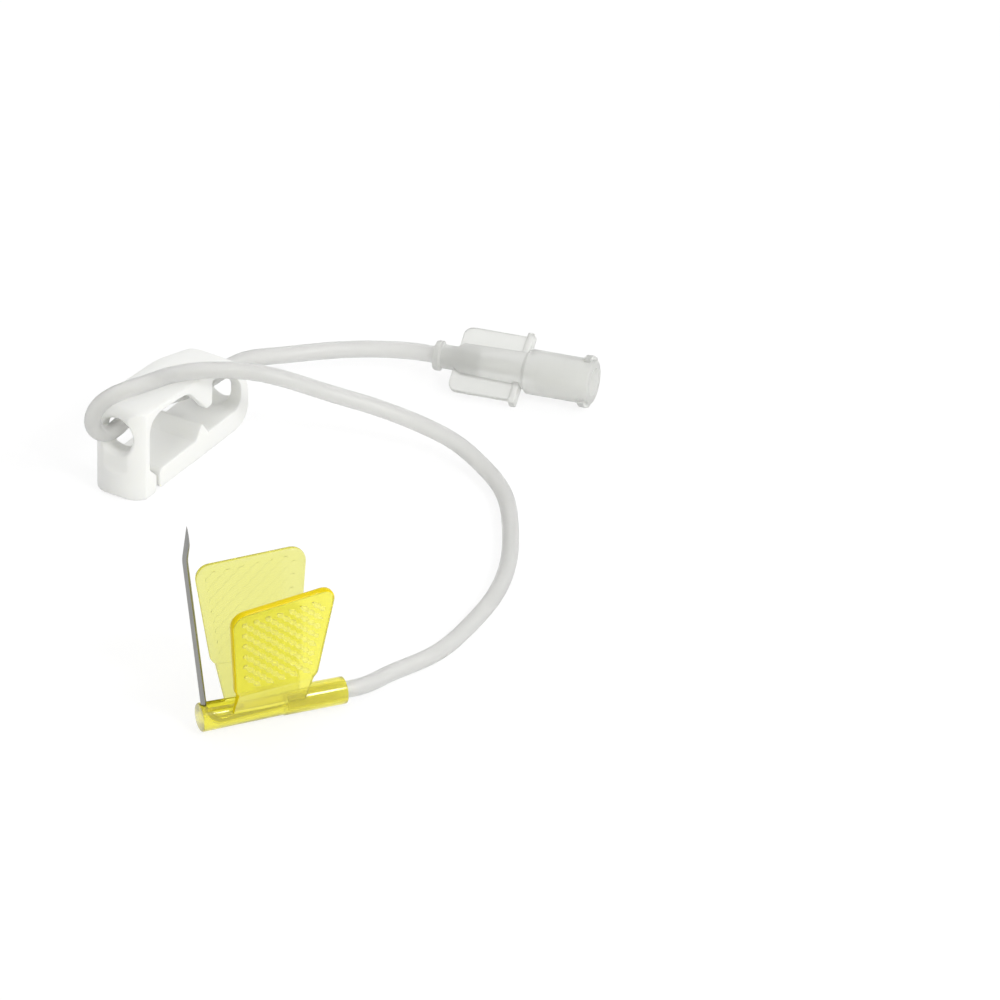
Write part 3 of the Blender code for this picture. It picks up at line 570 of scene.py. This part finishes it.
def steelLook():
    material = bpy.data.materials.new("drawnSteel")
    material.use_nodes = True
    nodes, links = material.node_tree.nodes, material.node_tree.links
    shader = nodes["Principled BSDF"]
    shader.inputs["Metallic"].default_value = 1.0
    where = nodes.new("ShaderNodeTexCoord")
    stretch = nodes.new("ShaderNodeMapping")
    stretch.inputs["Scale"].default_value = steelFinish["lines"]
    lines = nodes.new("ShaderNodeTexNoise")
    lines.inputs["Scale"].default_value = 1.0
    lines.inputs["Detail"].default_value = steelFinish["detail"]
    tone = nodes.new("ShaderNodeMapRange")
    tone.inputs["To Min"].default_value = steelFinish["roughness"][0]
    tone.inputs["To Max"].default_value = steelFinish["roughness"][1]
    shade = nodes.new("ShaderNodeMix")
    shade.data_type = "RGBA"
    shade.inputs["A"].default_value = steelFinish["dark"]
    shade.inputs["B"].default_value = steelFinish["bright"]
    bump = nodes.new("ShaderNodeBump")
    bump.inputs["Strength"].default_value = steelFinish["bump"]
    bump.inputs["Distance"].default_value = steelFinish["bumpHeight"]
    links.new(where.outputs["Object"], stretch.inputs["Vector"])
    links.new(stretch.outputs["Vector"], lines.inputs["Vector"])
    links.new(lines.outputs["Fac"], tone.inputs["Value"])
    links.new(lines.outputs["Fac"], shade.inputs["Factor"])
    links.new(lines.outputs["Fac"], bump.inputs["Height"])
    links.new(tone.outputs["Result"], shader.inputs["Roughness"])
    links.new(shade.outputs["Result"], shader.inputs["Base Color"])
    links.new(bump.outputs["Normal"], shader.inputs["Normal"])
    return material


def makeNeedle():
    points, point = needleLine()
    made = pipe("needle", points, needle["radius"], needle["bore"], needle["sides"])
    reach = needle["tipPoint"] + 2 * needle["tipSpare"]
    grinder = blockOf("grinder", (0, -reach, -reach), (2 * reach, reach, reach))
    lean = Matrix.Rotation(-math.radians(needle["lean"]), 4, "Y")
    shaped(grinder, Matrix.Translation(point) @ lean)
    combine(made, [(grinder, "DIFFERENCE")])
    settle(made, hubPlace, [steelLook()])
    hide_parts("cannula")


makeNeedle()
print("stage: needle")


# The winged hub, one yellow moulding

wing = {
    "centre": 10.3,
    "topWidth": 17.5,
    "footWidth": 13.4,
    "height": 16.5,
    "thickness": 1.2,
    "topCorner": 2.2,
    "footCorner": 1.8,
    "rim": 0.42,
    "rimFacing": (0.4, 0.95),  # share of the rounding in the rim's painted shade: faint, deep
    "rimFrom": 0.8,  # of the height, where the deep painted shade starts
    "rimSide": -0.2,  # how far a face turns to the needle before its rim gets the deep painted shade
    "lean": 9.5,
    "slant": 3.4,
    "nearTurn": 6.3,
    "farTurn": 4.1,
    "footSide": 4.2,
    "footHeight": 7.65,
    "webTop": 12.2,
    "webFoot": 11.2,
    "webThickness": 0.6,
    "webRoot": 1.14,
    "webSide": 1.45,
    "webHeight": 2.6,
    "webLap": 0.7,
    "gripPitch": 1.48,
    "gripRow": 1.37,
    "gripWide": 0.98,
    "gripNeck": 0.55,
    "gripHeight": {-1: 0.24, 1: 0.13},  # near and far
    "gripTwist": 42.0,
    "gripMargin": 1.5,
    "gripSteps": 10,  # rings to one stud
    "gripFewest": 8,  # a row with fewer rings is left out
    "gripTaper": 4,  # rings over which a row's end narrows
    "webSteps": 16,
}

yellowLook = {
    "color": (0.98, 0.935, 0.14),
    "shade": (0.97, 0.92, 0.10),
    "drift": 0.6,
    "roughness": 0.16,
    "spread": 0.08,
    "grain": 2.5,
    "bump": 0.15,
    "bumpHeight": 0.00002,
    "ior": 1.36,
    "clear": 0.84,
    "milky": 0.0,
    "milkyDepth": 0.001,
    "gloss": 0.35,
}

bodyLook = {  # the thick barrel, with more of its colour in the depth
    **yellowLook,
    "color": (0.99, 0.93, 0.08),
    "shade": (0.98, 0.90, 0.05),
    "ior": 1.28,
    "clear": 0.76,
    "gloss": 0.5,
    "coat": 1.0,
    "coatRoughness": 0.13,
}

rimShadeLook = {  # painted shade: the pads' narrow rims are painted a deeper yellow for the light that has come a long way through
    **yellowLook,
    "color": (0.86, 0.67, 0.002),
    "shade": (0.80, 0.60, 0.001),
    "clear": 0.2,
    "gloss": 0.2,
}

paintedBacklightLook = {  # painted light: the far wing is painted a paler yellow for the light behind it
    **yellowLook,
    "color": (0.90, 0.89, 0.35),
    "shade": (0.87, 0.86, 0.31),
}

studHighlightLook = {  # painted highlight: the grip's studs are painted paler where they catch the light
    **yellowLook,
    "color": (0.97, 0.93, 0.24),
    "shade": (0.96, 0.92, 0.20),
    "ior": 1.45,
    "clear": 0.7,
    "gloss": 0.6,
}

# painted shade, faint: the rims that do not get the deep painted shade
faintRimShadeLook = {
    **yellowLook,
    "color": (0.86, 0.80, 0.10),
    "shade": (0.84, 0.77, 0.08),
    "clear": 0.5,
}

yellows = [
    plasticLook("bodyYellow", bodyLook),
    plasticLook("paintedDeepRimYellow", rimShadeLook),
    plasticLook("clearYellow", yellowLook),
    plasticLook("paintedBacklightYellow", paintedBacklightLook),
    plasticLook("paintedHighlightStudYellow", studHighlightLook),
    plasticLook("paintedFaintRimYellow", faintRimShadeLook),
]

finishes = {  # places in the list above; deepEdge and faintEdge are painted shade, farWing a painted backlight, stud a painted highlight
    "body": 0,
    "deepEdge": 1,
    "nearWing": 2,
    "farWing": 3,
    "stud": 4,
    "faintEdge": 5,
}


# gives every face one finish of the list, some of which are painted light or shade
def withFinish(made, finish):
    for yellow in yellows:
        made.data.materials.append(yellow)
    for face in made.data.polygons:
        face.material_index = finish
    return made


def paintRimShade(made, side):
    # painted shade: the near pad's rim is painted deep yellow along its top and needle
    # side, the others a faint painted shade
    for face in made.data.polygons:
        high = face.center.z > wing["rimFrom"] * wing["height"]
        deep = side < 0 and (high or face.normal.x < wing["rimSide"])
        if abs(face.normal.y) < wing["rimFacing"][int(deep)]:
            face.material_index = finishes["deepEdge" if deep else "faintEdge"]


ribCurve = (  # a rib's section: across, up; the foot is sunk into the pad
    (-0.5, -0.5),
    (-0.5, 0.04),
    (-0.36, 0.5),
    (-0.15, 0.93),
    (0.15, 0.93),
    (0.36, 0.5),
    (0.5, 0.04),
    (0.5, -0.5),
)


def onGrip(at, side):
    margin, share = wing["gripMargin"], at.y / wing["height"]
    half = (wing["footWidth"] * (1 - share) + wing["topWidth"] * share) / 2
    top = wing["height"] + side * at.x * math.tan(math.radians(wing["slant"]))
    return abs(at.x) < half - margin and margin < at.y < top - margin


def gripRibs(name, side):
    # slanting rows of studs that run into each other end to end
    bm = bmesh.new()
    twist = Matrix.Rotation(math.radians(wing["gripTwist"]), 2)
    middle = Vector((0, wing["height"] / 2))
    step = wing["gripPitch"] / wing["gripSteps"]
    reach = int(1.5 * wing["topWidth"] / wing["gripRow"])
    low, high, neck = wing["thickness"] / 2, wing["gripHeight"][side], wing["gripNeck"]
    for row in range(-reach, reach + 1):
        up = row * wing["gripRow"]
        marks = [step * k for k in range(-12 * reach, 12 * reach + 1)]
        marks = [u for u in marks if onGrip(middle + twist @ Vector((u, up)), side)]
        if len(marks) < wing["gripFewest"]:
            continue
        rings = []
        for u in marks:
            swell = math.cos(math.pi * u / wing["gripPitch"]) ** 2
            left = min(u - marks[0], marks[-1] - u) + step
            end = min(1, left / (wing["gripTaper"] * step))
            wide = wing["gripWide"] * (neck + (1 - neck) * swell) * end
            tall = high * (neck + (1 - neck) * swell)
            ring = []
            for across, rise in ribCurve:
                spot = middle + twist @ Vector((u, up + across * wide))
                height = low + rise * (tall if rise > 0.1 else high)
                ring.append(bm.verts.new((spot.x, height, spot.y)))
            rings.append(ring)
        bm.faces.new(rings[0])
        bm.faces.new(rings[-1])
        for a, b in zip(rings, rings[1:]):
            for k in range(len(a)):
                n = (k + 1) % len(a)
                bm.faces.new((a[k], a[n], b[n], b[k]))
    return objectFrom(bm, name)


def webStrip(name, side, turn):
    # the web twists from the hub's flank to the pad's foot
    lean = Matrix.Rotation(-side * math.radians(wing["lean"]), 3, "X")
    foot = Vector((wing["centre"], side * wing["webSide"], wing["webHeight"]))
    top = Vector((wing["centre"], side * wing["footSide"], wing["footHeight"]))
    top += Matrix.Rotation(turn, 3, "Z") @ lean @ Vector((0, 0, wing["webLap"]))
    up = (top - foot).normalized()
    bm = bmesh.new()
    rings = []
    for step in range(wing["webSteps"] + 1):
        share = step / wing["webSteps"]
        along = Matrix.Rotation(turn * share, 3, "Z") @ Vector((1, 0, 0))
        half = (wing["webFoot"] * (1 - share) + wing["webTop"] * share) / 2
        thick = wing["webThickness"] + (wing["webRoot"] - wing["webThickness"]) * share**2
        out = up.cross(along).normalized() * thick / 2
        middle = foot.lerp(top, share)
        ring = []
        for u, v in ((-1, -1), (1, -1), (1, 1), (-1, 1)):
            ring.append(bm.verts.new(middle + u * half * along + v * out))
        rings.append(ring)
    bm.faces.new(rings[0])
    bm.faces.new(rings[-1])
    for below, above in zip(rings, rings[1:]):
        for k in range(4):
            n = (k + 1) % 4
            bm.faces.new((below[k], below[n], above[n]))
            bm.faces.new((below[k], above[n], above[k]))
    return objectFrom(bm, name)


def wingTools(side, turn, name):
    turn = math.radians(turn)
    top, foot, tall = wing["topWidth"] / 2, wing["footWidth"] / 2, wing["height"]
    rise = top * math.tan(math.radians(wing["slant"]))
    outline = roundOutline(
        [
            (-foot, 0, wing["footCorner"]),
            (foot, 0, wing["footCorner"]),
            (top, tall + rise, wing["topCorner"]),
            (-top, tall - rise, wing["topCorner"]),
        ],
        10,
    )
    half = wing["thickness"] / 2
    pad = drawOut(name + "Pad", outline, -half, half, wing["rim"], 3)
    # painted light: the far pad and its web take the paler painted-backlight yellow
    finish = finishes["farWing" if side > 0 else "nearWing"]
    withFinish(pad, finish)
    paintRimShade(pad, side)
    lean = math.radians(wing["lean"])
    at = (wing["centre"], side * wing["footSide"], wing["footHeight"])
    move, tilt = Matrix.Translation(at), Matrix.Rotation(-side * lean, 4, "X")
    shaped(pad, move @ Matrix.Rotation(turn, 4, "Z") @ tilt)
    studs = gripRibs(name + "Studs", side)
    facing = Matrix.Rotation(turn if side > 0 else turn + math.pi, 4, "Z")
    shaped(studs, move @ facing @ Matrix.Rotation(-lean, 4, "X"))
    web = webStrip(name + "Web", side, turn)
    # painted light: the near studs take the paler painted highlight, the far studs their
    # wing's painted backlight
    withFinish(studs, finishes["farWing" if side > 0 else "stud"])
    withFinish(web, finish)
    paintRimShade(web, side)
    return [(web, "UNION"), (pad, "UNION"), (studs, "UNION")]


def makeHub():
    radius, edge, length = hub["radius"], hub["edge"], hub["length"]
    profile = [(0, 0), (0, radius - edge)]
    steps = hub["edgeSteps"]
    for k in range(1, steps + 1):
        angle = math.pi / 2 * k / steps
        profile.append(
            (edge * (1 - math.cos(angle)), radius - edge * (1 - math.sin(angle)))
        )
    profile += [
        (hub["sleeveStart"], hub["neck"]),
        (hub["sleeveStart"] + hub["sleeveStep"], hub["sleeve"]),
    ]
    for k in range(steps + 1):
        angle = math.pi / 2 * k / steps
        profile.append(
            (
                length - edge * (1 - math.sin(angle)),
                hub["sleeve"] - edge * (1 - math.cos(angle)),
            )
        )
    profile.append((length, 0))
    made = latheX("yellowHub", profile, 72)
    withFinish(made, finishes["body"])
    shaped(made, Matrix.Translation((0, 0, radius)))
    tools = wingTools(1, -wing["farTurn"], "farWing")
    tools += wingTools(-1, wing["nearTurn"], "nearWing")
    reach = hub["socketRadius"]
    bore = latheX(
        "socket",
        [
            (hub["socketStart"], 0),
            (hub["socketStart"], reach),
            (length + 1, reach),
            (length + 1, 0),
        ],
        48,
    )
    shaped(bore, Matrix.Translation((0, 0, radius)))
    points = needleLine()[0]
    runOut = (points[0] - points[1]).normalized()
    top = needle["bendSteps"] + 4  # past the bend and all of the straight shaft
    route = [points[0] + runOut, *points[1:top]]
    channel = pipe("channel", route, hub["channel"], 0, hub["channelSides"])
    low, high = 2 * radius - hub["slotDepth"], 2 * radius + 1
    slot = drawOut(
        "slot",
        roundOutline(
            [
                (hub["slotStart"], low, 0),
                (hub["slotEnd"], low, 0),
                (hub["slotEnd"], high, 0),
                (hub["slotStart"], high, 0),
            ]
        ),
        -hub["slotWidth"] / 2,
        hub["slotWidth"] / 2,
    )
    tools += [(bore, "DIFFERENCE"), (channel, "DIFFERENCE"), (slot, "DIFFERENCE")]
    combine(made, tools)
    settle(made, hubPlace, yellows)
    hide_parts("winged_hub")


makeHub()
print("stage: winged hub")


# The extension tube, soft and frosted

tube = {
    "radius": 1.25,
    "bore": 0.75,
    "sides": 48,
    "rings": 330,
    "pathPoints": 78,
    "runOut": 2.0,
    "butt": 0.3,
    "connectorSocket": 7.0,
}

tubeRoute = [
    (-16.4, -52.0, 1.4),
    (-10.1, -46.7, 1.35),
    (-5.0, -39.0, 1.35),
    (-1.0, -30.1, 1.35),
    (1.3, -19.2, 1.35),
    (1.5, -9.2, 1.35),
    (0.2, 0.7, 1.5),
    (-2.7, 6.7, 2.0),
    (-6.7, 11.1, 3.3),
    (-11.8, 13.4, 5.0),
    (-19.3, 14.2, 7.8),
    (-24.9, 14.1, 9.8),
    (-30.6, 14.3, 11.8),
    (-35.1, 13.8, 13.4),
    (-40.0, 12.1, 15.0),
    (-45.3, 9.4, 16.4),
    (-48.3, 5.9, 17.9),
    (-49.9, 1.5, 20.0),
    (-53.1, -2.3, 21.0),
    (-56.4, -3.4, 20.3),
    (-59.1, -3.2, 17.9),
    (-59.9, -2.3, 14.7),
    (-59.0, -0.7, 12.1),
    (-57.1, 1.8, 10.7),
    (-55.4, 4.4, 10.8),
    (-52.2, 9.5, 10.6),
    (-45.6, 17.6, 8.5),
    (-39.9, 26.6, 6.8),
    (-37.2, 30.0, 6.1),
    (-32.9, 32.9, 5.0),
    (-24.9, 35.4, 4.4),
    (-17.5, 36.4, 4.0),
]

tubeLook = {
    "color": (0.97, 0.97, 0.955),
    "shade": (0.95, 0.95, 0.935),
    "drift": 0.5,
    "roughness": 0.34,
    "spread": 0.1,
    "grain": 3.0,
    "bump": 0.15,
    "bumpHeight": 0.00002,
    "ior": 1.38,
    "clear": 0.76,
    "milky": 0.0,
    "milkyDepth": 0.001,
    "absorb": (0.5, 0.5, 0.48),
    "density": 150.0,
}


def smoothRoute(stops, count):
    stops = np.array(stops, float)
    gaps = np.linalg.norm(np.diff(stops, axis=0), axis=1)
    along = np.concatenate([[0], np.cumsum(gaps)])
    size = len(stops)
    left, right = np.eye(size), np.zeros((size, 3))
    for i in range(1, size - 1):
        left[i, i - 1 : i + 2] = (gaps[i - 1], 2 * (gaps[i - 1] + gaps[i]), gaps[i])
        rise = (stops[i + 1] - stops[i]) / gaps[i]
        right[i] = 6 * (rise - (stops[i] - stops[i - 1]) / gaps[i - 1])
    curl = np.linalg.solve(left, right)

    def at(s):
        i = min(int(np.searchsorted(along, s, side="right")) - 1, size - 2)
        h, a, b = gaps[i], along[i + 1] - s, s - along[i]
        return (
            (curl[i] * a**3 + curl[i + 1] * b**3) / (6 * h)
            + (stops[i] / h - curl[i] * h / 6) * a
            + (stops[i + 1] / h - curl[i + 1] * h / 6) * b
        )

    fine = np.array([at(s) for s in np.linspace(0, along[-1], 40 * size)])
    run = np.linalg.norm(np.diff(fine, axis=0), axis=1)
    run = np.concatenate([[0], np.cumsum(run)])
    marks = np.linspace(0, run[-1], count)
    return np.stack([np.interp(marks, run, fine[:, k]) for k in range(3)], axis=1), run[-1]


def makeTube():
    inside = hub["socketStart"] + tube["butt"]
    end = hub["length"]
    starts = (inside, (inside + end) / 2, end, end + tube["runOut"])
    stops = [hubPlace @ Vector((x, 0, hub["radius"])) for x in starts]
    stops += [Vector(stop) + Vector(layout["shift"]) for stop in tubeRoute]
    reach = tube["connectorSocket"]
    ends = (-tube["runOut"], 0, reach / 2, reach - tube["butt"])
    stops += [connectorPlace @ Vector((x, 0, connector["axisHeight"])) for x in ends]
    line, length = smoothRoute(stops, tube["rings"])
    made = pipe("extensionTube", line, tube["radius"], tube["bore"], tube["sides"])
    settle(made, Matrix(), [plasticLook("frostedTube", tubeLook)], 50)
    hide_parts("extension_tube")
    path = smoothRoute(stops, tube["pathPoints"])[0] * layout["millimetre"]
    exitPoint = hubPlace @ Vector((hub["length"], 0, hub["radius"])) * layout["millimetre"]
    return made, path, exitPoint, float(length) * layout["millimetre"]


# The pinch clamp, one white moulding

clamp = {
    "width": 8.6,
    "length": 27.4,
    "height": 15.1,
    "wall": 1.15,
    "wallBulge": 1.7,
    "footBulge": 2.12,
    "footCorner": 1.0,
    "arm": 1.35,
    "armCorner": 1.6,
    "armMiddle": 15.5,
    "armMiddleDrop": 1.15,
    "armSweep": 20.0,
    "shoulder": 24.0,
    "shoulderDrop": 3.7,
    "shoulderRadius": 2.0,
    "hinge": 2.0,
    "hingeMiddle": 6.2,
    "hingeFoot": 5.0,
    "lowerArm": 3.3,
    "latchLength": 3.0,
    "latchHeight": 4.5,
    "latchSlope": 1.8,
    "tipGap": 0.7,
    "ridgeAt": 15.1,
    "ridgeBase": 3.4,
    "ridgeHeight": 5.6,
    "guard": 1.4,
    "guardStart": 8.2,
    "guardSlope": 3.6,
    "guardBend": 0.6,
    "guardTip": 17.8,
    "guardTipLength": 1.4,
    "guardHeight": 7.4,
    "latchHole": 2.8,
    "latchHoleDrop": 4.8,
    "latchHoleRim": 0.6,
    "hingeHole": 2.4,
    "hingeHoleLow": 3.0,
    "hingeHoleDrop": 1.8,
    "corner": 0.3,
    "crown": 0.5,
    "crownDepth": 3.0,
    "voxel": 0.16,
    "softening": 5,
    "planSteps": 40,
}

whiteLook = {
    "color": (0.895, 0.90, 0.875),
    "shade": (0.865, 0.865, 0.84),
    "drift": 0.5,
    "roughness": 0.42,
    "spread": 0.1,
    "grain": 2.0,
    "bump": 0.2,
    "bumpHeight": 0.00003,
    "ior": 1.5,
    "clear": 0.0,
    "milky": 0.3,
    "milkyDepth": 0.0015,
}


def clampProfile():
    c = clamp
    length, height, arm, corner = c["length"], c["height"], c["arm"], c["corner"]
    innerEnd = length - c["hinge"]
    tip = c["latchLength"] + c["tipGap"]
    midX, midZ = c["armMiddle"], height - c["armMiddleDrop"]
    bendX, bendZ = c["shoulder"], height - c["shoulderDrop"]
    ridge, half = c["ridgeAt"], c["ridgeBase"] / 2
    return roundOutline(
        [
            (-c["footBulge"], 0, c["footCorner"]),
            (c["latchLength"], 0, corner),
            (c["latchLength"], c["latchHeight"] - c["latchSlope"], corner),
            (c["wall"], c["latchHeight"], corner),
            (c["wall"], height - arm, 2 * c["armCorner"]),
            (midX, midZ - arm, c["armSweep"]),
            (bendX - arm / 2, bendZ - arm, c["shoulderRadius"]),
            (innerEnd, c["hingeMiddle"] + arm / 2, c["shoulderRadius"]),
            (innerEnd, c["lowerArm"], c["hingeFoot"] / 2),
            (ridge + half, c["lowerArm"], corner),
            (ridge, c["ridgeHeight"], corner),
            (ridge - half, c["lowerArm"], corner),
            (tip, c["lowerArm"], c["footCorner"]),
            (tip, 0, c["footCorner"]),
            (length, 0, c["hingeFoot"]),
            (length, c["hingeMiddle"], c["hingeFoot"]),
            (bendX + arm / 2, bendZ, c["shoulderRadius"]),
            (midX, midZ, c["armSweep"]),
            (-c["wallBulge"], height, c["armCorner"]),
            (-c["wallBulge"], c["latchHeight"] + corner, corner),
            (-c["footBulge"], c["latchHeight"] - corner, corner),
        ],
        8,
    )


def clampPlan():
    half, bulge = clamp["width"] / 2, clamp["footBulge"]
    radius = (half**2 + bulge**2) / (2 * bulge)
    spread = math.asin(half / radius)
    middle = Vector((radius - bulge, half))
    far = clamp["length"] + 1
    points = [Vector((far, -1)), Vector((0, -1))]
    steps = clamp["planSteps"]
    for step in range(steps + 1):
        angle = spread * (2 * step / steps - 1)
        points.append(middle - radius * Vector((math.cos(angle), -math.sin(angle))))
    points += [Vector((0, clamp["width"] + 1)), Vector((far, clamp["width"] + 1))]
    return points


def armTop(x):
    c = clamp
    places = (-c["wallBulge"], c["armMiddle"], c["shoulder"] + c["arm"] / 2)
    drops = (0, c["armMiddleDrop"], c["shoulderDrop"])
    return c["height"] - float(np.interp(x, places, drops))


def guardProfile():
    c = clamp
    bend, inside = c["guardStart"] + c["guardSlope"], c["arm"] / 2
    end = c["guardTip"] + c["corner"]
    return roundOutline(
        [
            (c["guardStart"], armTop(c["guardStart"]) - inside, 0),
            (bend, armTop(bend) - c["arm"] - c["guardBend"], c["guardSlope"] / 2),
            (c["guardTip"] - c["guardTipLength"], c["guardHeight"], c["corner"]),
            (c["guardTip"], c["guardHeight"], c["corner"]),
            (end, armTop(end) - inside, 0),
        ]
    )


def crownTop(made):
    # the arm's back is a little lower along its two long edges
    c = clamp
    for vert in made.data.vertices:
        under = armTop(vert.co.x) - vert.co.z
        share = 1 - min(max(under / c["crownDepth"], 0), 1)
        across = abs(2 * vert.co.y / c["width"] - 1)
        vert.co.z -= c["crown"] * across**4 * share * share * (3 - 2 * share)


def makeClamp():
    c = clamp
    made = drawOut("whiteClamp", clampProfile(), 0, c["width"])
    plan = drawOut("plan", clampPlan(), -c["height"] - 1, 1)
    shaped(plan, Matrix.Rotation(-math.pi / 2, 4, "X"))
    near = drawOut("nearGuard", guardProfile(), 0.01, c["guard"])
    far = drawOut("farGuard", guardProfile(), c["width"] - c["guard"], c["width"] - 0.01)
    latchHole = latheX(
        "latchHole",
        [
            (-c["wallBulge"] - 1, 0),
            (-c["wallBulge"] - 1, c["latchHole"] + c["latchHoleRim"] + 1),
            (-c["wallBulge"] + c["latchHoleRim"], c["latchHole"]),
            (c["wall"] + 1, c["latchHole"]),
            (c["wall"] + 1, 0),
        ],
        48,
    )
    middle = (0, c["width"] / 2, c["height"] - c["latchHoleDrop"])
    shaped(latchHole, Matrix.Translation(middle))
    half, top = c["hingeHole"], c["height"] - c["shoulderDrop"] - c["hingeHoleDrop"]
    hingeHole = drawOut(
        "hingeHole",
        roundOutline(
            [
                (-half, c["hingeHoleLow"], half),
                (half, c["hingeHoleLow"], half),
                (half, top, half),
                (-half, top, half),
            ]
        ),
        -2 * c["hinge"],
        c["hinge"],
    )
    turn = Matrix.Rotation(-math.pi / 2, 4, "Z")
    shaped(hingeHole, Matrix.Translation((c["length"], c["width"] / 2, 0)) @ turn)
    combine(
        made,
        [
            (plan, "INTERSECT"),
            (near, "UNION"),
            (far, "UNION"),
            (latchHole, "DIFFERENCE"),
            (hingeHole, "DIFFERENCE"),
        ],
    )
    melt(made, c["voxel"], c["softening"])
    crownTop(made)
    settle(made, clampPlace, [plasticLook("satinWhite", whiteLook)], 0)
    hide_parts("pinch_clamp")
    return made


whiteClamp = makeClamp()
print("stage: clamp")


# The connector, one frosted clear moulding

connector = {
    "length": 24.5,
    "axisHeight": 3.9,
    "flangeRadius": 2.25,
    "flange": 0.9,
    "throat": 1.8,
    "bodyStart": 3.2,
    "bodyStep": 1.0,
    "body": 2.45,
    "barrelStart": 13.6,
    "barrelStep": 1.0,
    "barrel": 3.35,
    "edge": 0.25,
    "socketRadius": 1.45,
    "socket": 7.0,
    "lumen": 0.8,
    "mouth": 2.15,
    "coneDepth": 8.5,
    "taper": 0.06,
    "lugRadius": 3.9,
    "lug": 1.0,
    "lugSpan": 70.0,
    "lugLap": 0.4,
    "lugSteps": 16,
    "edgeCut": 0.3,  # share of the edge at which its corner is cut
    "stepBend": (0.4, 0.35),  # where the barrel's shoulder bends: along, outwards
    "finStart": 3.2,
    "finLength": 10.7,
    "finReach": 5.35,
    "fin": 1.0,
    "finCorner": 1.4,
    "lip": 1.1,
    "lipProud": 0.5,
    "lipThickness": 1.9,
    "lipCorner": 0.3,
}

frostLook = {
    "color": (0.95, 0.955, 0.93),
    "shade": (0.925, 0.93, 0.905),
    "drift": 0.5,
    "roughness": 0.32,
    "spread": 0.1,
    "grain": 2.0,
    "bump": 0.15,
    "bumpHeight": 0.00002,
    "ior": 1.42,
    "clear": 0.62,
    "milky": 0.0,
    "milkyDepth": 0.001,
    "absorb": (0.5, 0.5, 0.47),
    "density": 50.0,
}


def finTilt():
    half = connector["lipThickness"] / 2
    reach = connector["finReach"] + connector["lipProud"]
    lift = math.asin(connector["lugRadius"] / math.hypot(reach, half))
    return lift - math.atan2(half, reach)


def makeConnector():
    c = connector
    edge, length, start = c["edge"], c["length"], c["barrelStart"]
    cut, (along, out) = edge * c["edgeCut"], c["stepBend"]
    profile = [
        (0, 0),
        (0, c["flangeRadius"] - edge),
        (cut, c["flangeRadius"] - cut),
        (edge, c["flangeRadius"]),
        (c["flange"], c["flangeRadius"]),
        (c["flange"] + edge, c["throat"]),
        (c["bodyStart"], c["throat"]),
        (c["bodyStart"] + c["bodyStep"], c["body"]),
        (start, c["body"] + edge),
        (start + c["barrelStep"] * along, c["body"] + out * (c["barrel"] - c["body"])),
        (start + c["barrelStep"], c["barrel"]),
        (length - edge, c["barrel"]),
        (length - cut, c["barrel"] - cut),
        (length, c["barrel"] - edge),
        (length, 0),
    ]
    made = latheX("frostedConnector", profile, 72)
    tilt = finTilt()
    turn = Matrix.Rotation(-(math.pi / 2 - tilt), 4, "X")
    first, last = c["finStart"], c["finStart"] + c["finLength"]
    reach = c["finReach"]
    fins = drawOut(
        "fins",
        roundOutline(
            [
                (first, -reach, c["finCorner"]),
                (last, -reach, c["lipCorner"]),
                (last, reach, c["lipCorner"]),
                (first, reach, c["finCorner"]),
            ]
        ),
        -c["fin"] / 2,
        c["fin"] / 2,
        edge,
    )
    reach += c["lipProud"]
    lips = drawOut(
        "lips",
        roundOutline(
            [
                (last - c["lip"], -reach, c["lipCorner"]),
                (last, -reach, c["lipCorner"]),
                (last, reach, c["lipCorner"]),
                (last - c["lip"], reach, c["lipCorner"]),
            ]
        ),
        -c["lipThickness"] / 2,
        c["lipThickness"] / 2,
        edge,
    )
    tools = [(shaped(fins, turn), "UNION"), (shaped(lips, turn), "UNION")]
    for number, middle in enumerate((tilt, tilt + math.pi)):
        arc = []
        for step in range(c["lugSteps"] + 1):
            share = step / c["lugSteps"] - 0.5
            angle = middle + math.radians(c["lugSpan"]) * share
            arc.append(Vector((math.sin(angle), math.cos(angle))))
        outline = [c["lugRadius"] * p for p in arc]
        outline += [(c["barrel"] - c["lugLap"]) * p for p in reversed(arc)]
        lug = drawOut(f"lug{number}", outline, -c["lug"] / 2, c["lug"] / 2)
        move = Matrix.Translation((length - c["lug"], 0, 0))
        shaped(lug, move @ Matrix.Rotation(math.pi / 2, 4, "Z"))
        tools.append((lug, "UNION"))
    coneEnd = length - c["coneDepth"]
    narrow = c["mouth"] - c["coneDepth"] * c["taper"] / 2
    bore = latheX(
        "connectorBore",
        [
            (-1, 0),
            (-1, c["socketRadius"]),
            (c["socket"], c["socketRadius"]),
            (c["socket"], c["lumen"]),
            (coneEnd, c["lumen"]),
            (coneEnd, narrow),
            (length + 1, c["mouth"] + c["taper"] / 2),
            (length + 1, 0),
        ],
        48,
    )
    tools.append((bore, "DIFFERENCE"))
    combine(made, tools)
    shaped(made, Matrix.Translation((0, 0, c["axisHeight"])))
    settle(made, connectorPlace, [plasticLook("frostedClear", frostLook)])
    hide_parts("tube_connector")
    return made


frostedConnector = makeConnector()
print("stage: connector")

tubePiece, tubePath, tubeExit, tubeLength = makeTube()
print("stage: tube", round(tubeLength, 4))
